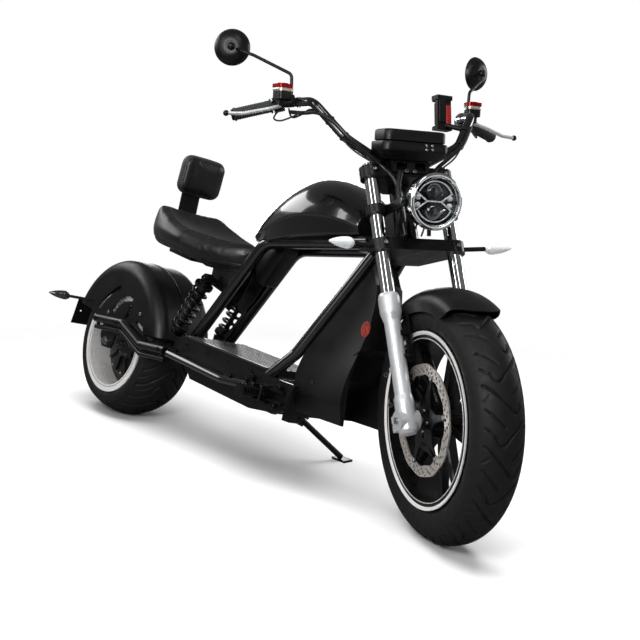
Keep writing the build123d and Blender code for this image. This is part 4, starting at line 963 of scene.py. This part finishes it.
loops += [ringLoop(disc["holeRadius"], 20, inPolar(disc["holeAt"], turned + math.pi / 6)) for turned in armTurns]
carrierPlace = Matrix.Translation((0, -disc["carrierOut"], 0)) @ discPlace
addPiece("discCarrier", plateShape(loops, disc["thick"], carrierPlace), "cast", "front_wheel")

# Front fender: a rounded pressing with a curved front lip, on two flat stays
fender = {
    "from": 62.0, "lipSweep": 9.0, "to": 128.0, "steps": 44, "wall": 3, "side": 73,
    # radius from the axle, half width
    "section": [(264, 73.5), (280, 74), (291, 72.5), (302, 67.5), (311, 59), (317.5, 47), (322, 31),
                (324.6, 15), (325.6, 0)],
    "stay": 114.0, "stayFrom": 146.0, "stayTo": 268.0, "stayHalf": 14.0, "stayThick": 4, "bolts": (161.0, 221.0),
}


def fenderShape():
    half = pick(smoothLine(fender["section"], 3), 23)
    line = [tuple(p) for p in half] + [(r, -w) for r, w in half[-2::-1]]
    points = []
    faces = []
    across = len(line)
    for i in range(fender["steps"] + 1):
        for r, w in line:
            start = fender["from"] + fender["lipSweep"] * abs(w / 74) ** 2.2 + 5 * max(0, (292 - r) / 28) ** 2
            points.append(roundAxle(frontAxle, r, start + (fender["to"] - start) * i / fender["steps"], w))
    for i in range(fender["steps"]):
        for k in range(across - 1):
            first = i * across + k
            faces.append((first, first + across, first + across + 1, first + 1))
    return points, faces


fenderPiece = addPiece("fenderShell", fenderShape(), "abs", "front_end", split=0,
                       standsFor="front_fender", closed=False)
wall = fenderPiece.modifiers.new("wall", "SOLIDIFY")
wall.thickness = fender["wall"] * mm
wall.offset = -1
splitSharp(fenderPiece, 50)
stayShapes = []
for side in (-1, 1):
    out = Vector((0, side, 0))
    u = roundAxle(Vector(), 1, fender["stay"])
    turn = Matrix((u, (0, 1, 0), (-u.z, 0, u.x))).transposed().to_4x4()
    # the plate is drawn with its width along the wheel's turn
    flat = Matrix(((1, 0, 0, 0), (0, 0, 1, 0), (0, 1, 0, 0), (0, 0, 0, 1)))
    place = Matrix.Translation(frontAxle + out * fender["side"]) @ turn @ flat
    half = fender["stayHalf"]
    turns = np.linspace(math.pi / 2, math.pi * 1.5, 15)
    edge = [(fender["stayFrom"] + half + half * math.cos(a), half * math.sin(a)) for a in turns]
    stayShapes.append(plateShape([edge + [(fender["stayTo"], -half), (fender["stayTo"], half)]],
                                 fender["stayThick"], place))
    for reach in fender["bolts"]:
        spot = frontAxle + u * reach + out * fender["side"]
        stayShapes.append(lathe([(0.5, 0), (8, 0), (8, 23), (0.5, 23)], spot, out, 24))
        stayShapes.append(boltHead(spot - out * 2, -out, 7, 4))
addPiece("fenderStays", joinShapes(stayShapes), "powder", "front_end")

# Headlight bezel trim: a fine bead round the glass
bead = lathe([(63.5, 3.2), (64.2, 4.4), (66.6, 4.4), (67.4, 3.2)], lampAt, lampWay, 96, closed=True)
addPiece("bezelBead", bead, "chrome", "front_end")

# Bands of cream anodising under the red caps
reservoir = {
    "x": 940, "y": 292, "turn": 12,
    "levels": [(1103.5, 23.6, 20.6, 9.4), (1104.4, 24.2, 21.2, 9.8), (1111.6, 24.2, 21.2, 9.8),
               (1112.6, 23.6, 20.6, 9.4)],
}
for side, word in ((1, "Left"), (-1, "Right")):
    points, faces = roundedStack(reservoir["levels"])
    turn = Matrix.Translation((reservoir["x"], reservoir["y"] * side, 0))
    turn = turn @ Matrix.Rotation(math.radians(-reservoir["turn"] * side), 4, "Z")
    addPiece("reservoirBand" + word, ([turn @ Vector(p) for p in points], faces), "champagne", "front_end")

# Phone holder: red pad, jaw pads and back plate, each a rounded block of centre, size and corner
holder = {
    "at": (1012, 160, 1080), "turn": 8, "tilt": -8,
    "pad": [((9, 12, -6), (7, 18, 52), 3)],
    "jaws": [((-14, 0, 34.4), (16, 44, 4), 2), ((-12, 0, -37.4), (14, 44, 4), 2)],
    "back": [((-16, 0, 0), (16, 30, 60), 5)],
}
holderTurn = (Matrix.Translation(holder["at"]) @ Matrix.Rotation(math.radians(holder["turn"]), 4, "Z")
              @ Matrix.Rotation(math.radians(holder["tilt"]), 4, "Y"))


def holderBlocks(rows, edge=0.8):
    shapes = []
    for centre, size, corner in rows:
        x, y, z = (s / 2 for s in size)
        points, faces = roundedStack([(-z, x - edge, y - edge, corner), (-z + edge, x, y, corner),
                                      (z - edge, x, y, corner), (z, x - edge, y - edge, corner)], 0, 3)
        shapes.append(([holderTurn @ (Vector(p) + Vector(centre)) for p in points], faces))
    return joinShapes(shapes)


addPiece("phonePad", holderBlocks(holder["pad"]), "redPad", "front_end")
addPiece("phoneJawPads", holderBlocks(holder["jaws"]), "hose", "front_end")
addPiece("phoneBackPlate", holderBlocks(holder["back"]), "abs", "front_end")

# Corrugated loom behind the headlight, and the cables strapped to the bar
cables = {
    "loom": [(1168, -34, 905), (1192, -48, 868), (1212, -52, 832), (1222, -52, 794), (1212, -50, 760),
             (1206, -44, 722)],
    "loomRadius": 8.0, "loomRibs": (5.2, 1.1), "leadRadius": 2.4,
    "switchLead": [(914, 262, 1062), (925, 262, 1046), (948, 260, 1036), (984, 252, 1042), (1026, 240, 1056),
                   (1056, 222, 1046), (1092, 186, 996), (1120, 150, 954), (1150, 96, 920)],
    "brakeLead": [(936, 282, 1064), (930, 300, 1048), (938, 312, 1030), (958, 300, 1024), (982, 274, 1036),
                  (1006, 254, 1050)],
    "lampLead": [(1232, 12, 818), (1246, 10, 792), (1240, 12, 766), (1222, 14, 742)],
    # ties: where, and the way that the bar runs there
    "ties": [((966, 253, 1076.5), (1, -0.22, 0)), ((1070, 201, 1028), (0.52, -0.53, -0.69)),
             ((1100, 170, 988), (0.5, -0.53, -0.69))],
    "tieSection": [(13.2, -2.2), (14.2, -2.2), (14.2, 2.2), (13.2, 2.2)],
}
loom = tube(cables["loom"], cables["loomRadius"], 16, cables["loomRibs"])
addPiece("wiringLoom", loom, "hose", "front_end", split=0)
for key in ("switchLead", "brakeLead", "lampLead"):
    shapes = [tube([onSide(p, side) for p in cables[key]], cables["leadRadius"]) for side in (1, -1)]
    addPiece(key + "s", joinShapes(shapes), "hose", "front_end", split=0)
ties = [lathe(cables["tieSection"], onSide(at, side), onSide(along, side), 24, closed=True)
        for at, along in cables["ties"] for side in (1, -1)]
addPiece("cableTies", joinShapes(ties), "hose", "front_end")

# Pressed steel webs behind the deck, and the housing of the seat lock under the tank: x and z
webs = {
    "y": 26, "thick": 3.0, "lockThick": 54.0, "lockEdge": 3,
    "web": [(500, 560), (588, 560), (576, 520), (548, 470), (505, 430), (480, 440), (478, 500)],
    "lock": [(592, 566), (592, 640), (612, 649), (712, 657), (706, 622), (676, 578), (648, 534), (640, 528),
             (610, 536)],
}
webShapes = [plateShape([webs["web"]], webs["thick"], Matrix.Translation((0, side * webs["y"], 0)) @ standUp)
             for side in (-1, 1)]
addPiece("frameWebs", joinShapes(webShapes), "powder", "chassis")
lockPiece = addPiece("seatLockHousing", plateShape([webs["lock"]], webs["lockThick"], standUp), "abs", "chassis",
                     split=0)
roundEdges(lockPiece, webs["lockEdge"])
splitSharp(lockPiece, 35)


# Screws on both flanks, at the same x and z
def onFlanks(y, spots, radius, height):
    return [((x, side * y, z), (0, side, 0), radius, height) for side in (-1, 1) for x, z in spots]


# Screws on a circle round an axle
def inCircle(axle, reach, y, way, degrees, radius, height):
    return [(roundAxle(axle, reach, a, y), (0, way, 0), radius, height) for a in degrees]


# Each screw is a place, the way it faces, its radius and height
forkHalf = layout["forkHalf"]
bothWays = (-1, 1)
screws = {
    "forkBolts": ("front_end", "zinc", "silver", [
        (alongStem(t, -28, side * forkHalf), -squareDir, 6, 5) for side in bothWays for t in (62, 142)
    ] + [((1164, -13.5, 908), (0.95, 0, 0.3), 5.5, 4), ((1164, 10.5, 908), (0.95, 0, 0.3), 5.5, 4),
         ((1162, -50, 940), (0.9, 0, -0.3), 4, 3), ((1162, 50, 940), (0.9, 0, -0.3), 4, 3)]
      + [((1194.6, y, z), (1, 0, 0), 3.4, 2) for y, z in display["buttons"]]),
    "earBolts": ("front_end", "zinc", "silver", onFlanks(79, [(1284, 833)], 8, 5) + [
        (alongStem(t, 78, side * forkHalf), squareDir, 5.5, 5) for t in (460, 669) for side in bothWays]),
    "discButtons": ("front_wheel", "zinc", "steel",
                    inCircle(frontAxle, 110, -62.4, -1, range(15, -345, -60), 5.5, 3)
                    + inCircle(frontAxle, 27, -62, -1, range(0, 360, 72), 4.5, 4)),
    "motorBolts": ("rear_wheel", "zinc", "steel", [
        bolt for side in bothWays
        for bolt in inCircle(rearAxle, 103, side * 41.8, side, range(18, 378, 36), 4.5, 4)
        + inCircle(rearAxle, 39, side * 48, side, range(0, 360, 60), 4, 4)]),
    "fenderBolts": ("chassis", "zinc", "silver", onFlanks(112, [(-44, 330), (153, 352)], 6.5, 3.5)),
    "guardBolts": ("chassis", "blackBolt", "black_metal",
                   onFlanks(163, [(372, 268), (100, 309), (-36, 303)], 7, 4)
                   + onFlanks(98, [(342, 330)], 9, 6) + onFlanks(100, [(445, 514)], 9, 6)),
    "deckBolts": ("chassis", "blackBolt", "black_metal",
                  onFlanks(114, [(450, 305), (560, 300), (670, 292), (780, 286)], 5, 3)
                  + onFlanks(140, [(826, 274), (950, 268), (940, 214), (722, 256), (800, 262)], 6.5, 4)),
    "panBolts": ("chassis", "blackBolt", "black_metal", onFlanks(57.6, [(470, 530), (540, 530)], 6, 4) + [
        ((164, side * 24, 778), (1, 0, 0), 5, 3) for side in bothWays]),
}
for name, (body, paint, slotName, rows) in screws.items():
    addPiece(name, joinShapes([boltHead(*row) for row in rows]), paint, body)

# Nuts with six flats on the rear stubs, dark discs as painted shade in the front cover's clip holes, and a seam bead
# on the rear fender
trim = {
    "nutY": 122, "nut": [(8.1, 0), (15, 0, "flats"), (15, 8, "flats"), (13.95, 9), (8.1, 9)],
    # places and profile of the dark discs that paint the shade inside the clip holes
    "holeShades": [(1068, 60, 430), (1011, 82, 301)], "clip": [(7.2, -6), (7.2, -0.5), (6.5, 0.4), (0.5, 0.4)],
    "beadReach": 285.4, "beadY": -2.8, "beadFrom": 14, "beadSweep": 134, "beadRadius": 1.3,
}
nuts = [lathe(trim["nut"], (0, side * trim["nutY"], rearAxle.z), (0, side, 0), 24, closed=True) for side in bothWays]
addPiece("rearAxleNuts", joinShapes(nuts), "zinc", "chassis")
# near-black discs that paint the shade inside the front cover's clip holes
holeShades = [lathe(trim["clip"], onSide(spot, side), (0, side, 0), 20) for side in bothWays for spot in trim["holeShades"]]
addPiece("clipHoleShades", joinShapes(holeShades), "shade", "chassis")
beadRoute = [roundAxle(rearAxle, trim["beadReach"], trim["beadFrom"] + trim["beadSweep"] * k / 33, trim["beadY"])
             for k in range(34)]
addPiece("fenderBead", tube(beadRoute, trim["beadRadius"], 8), "enamel", "chassis", split=0)
print("trim and bolts added")

# Studio: pale floor that fades into the white room, and area lights
studio = {
    "floorReach": 2.6, "floorFade": 1.25, "roomLight": 0.13, "background": 1.0,
    # place, aim, size, watts, and whether a light fills or only shines, or only fills
    "lights": {
        "topSoftbox": ((0.2, -0.3, 2.9), (0, 0, 0.3), (3.6, 2.6), 180, "fill"),
        "keySoftbox": ((1.6, -2.9, 2.0), (0.1, 0, 0.5), (1.0, 1.2), 60, "both"),
        "backSoftbox": ((-2.75, -1.0, 2.1), (0, -0.15, 0.7), (2.7, 1.1), 35, "shine"),
        "sidePanel": ((0.5, -3.2, 1.0), (0.5, 0, 0.8), (1.3, 1.9), 9.5, "shine"),
        "nosePanel": ((3.4, 0.8, 1.0), (0.5, 0, 0.8), (1.5, 1.9), 4.5, "shine"),
        "highStrip": ((-0.1, -2.2, 2.1), (0.45, -0.24, 0.8), (0.3, 1.3), 7, "shine"),
        "noseStrip": ((1.5, -0.9, 2.6), (0.5, -0.15, 0.75), (0.3, 1.3), 7, "shine"),
        "stripSoftbox": ((-2.7, 2.0, 0.75), (0.1, -0.2, 0.45), (1.9, 0.7), 24, "shine"),
        "farSoftbox": ((0.8, 3.0, 1.6), (0, 0, 0.5), (1.4, 1.0), 22, "both"),
    },
}


def addLight(name, place, aim, size, watts, work):
    data = bpy.data.lights.new(name, "AREA")
    data.shape = "RECTANGLE"
    data.size, data.size_y = size
    data.energy = watts
    light = bpy.data.objects.new(name, data)
    bpy.context.scene.collection.objects.link(light)
    light.location = place
    light.rotation_euler = (Vector(aim) - Vector(place)).to_track_quat("-Z", "Y").to_euler()
    light.visible_camera = False
    light.visible_glossy = work != "fill"
    light.visible_diffuse = work != "shine"


# White to the camera, dim to everything else, so that the black paint stays black
def addRoom():
    bpy.context.scene.view_settings.view_transform = "Standard"
    world = bpy.data.worlds.new("studio")
    bpy.context.scene.world = world
    world.use_nodes = True
    tree = world.node_tree
    tree.nodes.clear()
    seen = addNode(tree, "Background", {"Color": (1, 1, 1, 1), "Strength": studio["background"]})
    around = addNode(tree, "Background", {"Color": (1, 1, 1, 1), "Strength": studio["roomLight"]})
    path = addNode(tree, "LightPath")
    mix = addNode(tree, "MixShader", {0: path.outputs["Is Camera Ray"], 1: around.outputs[0], 2: seen.outputs[0]})
    addNode(tree, "OutputWorld", {0: mix.outputs[0]})


# White paper that fades out at its edge, and is greyer in reflections
def addFloor():
    reach = studio["floorReach"]
    mesh = bpy.data.meshes.new("studioFloor")
    corners = [(-reach, -reach, 0), (reach, -reach, 0), (reach, reach, 0), (-reach, reach, 0)]
    mesh.from_pydata(corners, [], [(0, 1, 2, 3)])
    floor = bpy.data.objects.new("studioFloor", mesh)
    bpy.context.scene.collection.objects.link(floor)
    material = bpy.data.materials.new("paperFloor")
    material.use_nodes = True
    tree = material.node_tree
    tree.nodes.clear()
    where = addNode(tree, "TexCoord")
    flat = addNode(tree, "VectorMath", {0: where.outputs["Object"]}, operation="LENGTH")
    fade = addNode(tree, "MapRange", {"Value": flat.outputs["Value"], "From Min": studio["floorFade"],
                                      "From Max": reach * 0.97, "To Min": 0.0, "To Max": 1.0},
                   interpolation_type="SMOOTHSTEP")
    paper = addNode(tree, "BsdfDiffuse", {"Color": fromHex("#f4f4f4")})
    dimPaper = addNode(tree, "BsdfDiffuse", {"Color": fromHex("#6c6c6c")})
    path = addNode(tree, "LightPath")
    seen = addNode(tree, "MixShader", {0: path.outputs["Is Glossy Ray"], 1: paper.outputs[0], 2: dimPaper.outputs[0]})
    clear = addNode(tree, "BsdfTransparent")
    mix = addNode(tree, "MixShader", {0: fade.outputs["Result"], 1: seen.outputs[0], 2: clear.outputs[0]})
    addNode(tree, "OutputMaterial", {0: mix.outputs[0]})
    mesh.materials.append(material)


addCamera()
addRoom()
for name, settings in studio["lights"].items():
    addLight(name, *settings)
addFloor()
print("studio set")
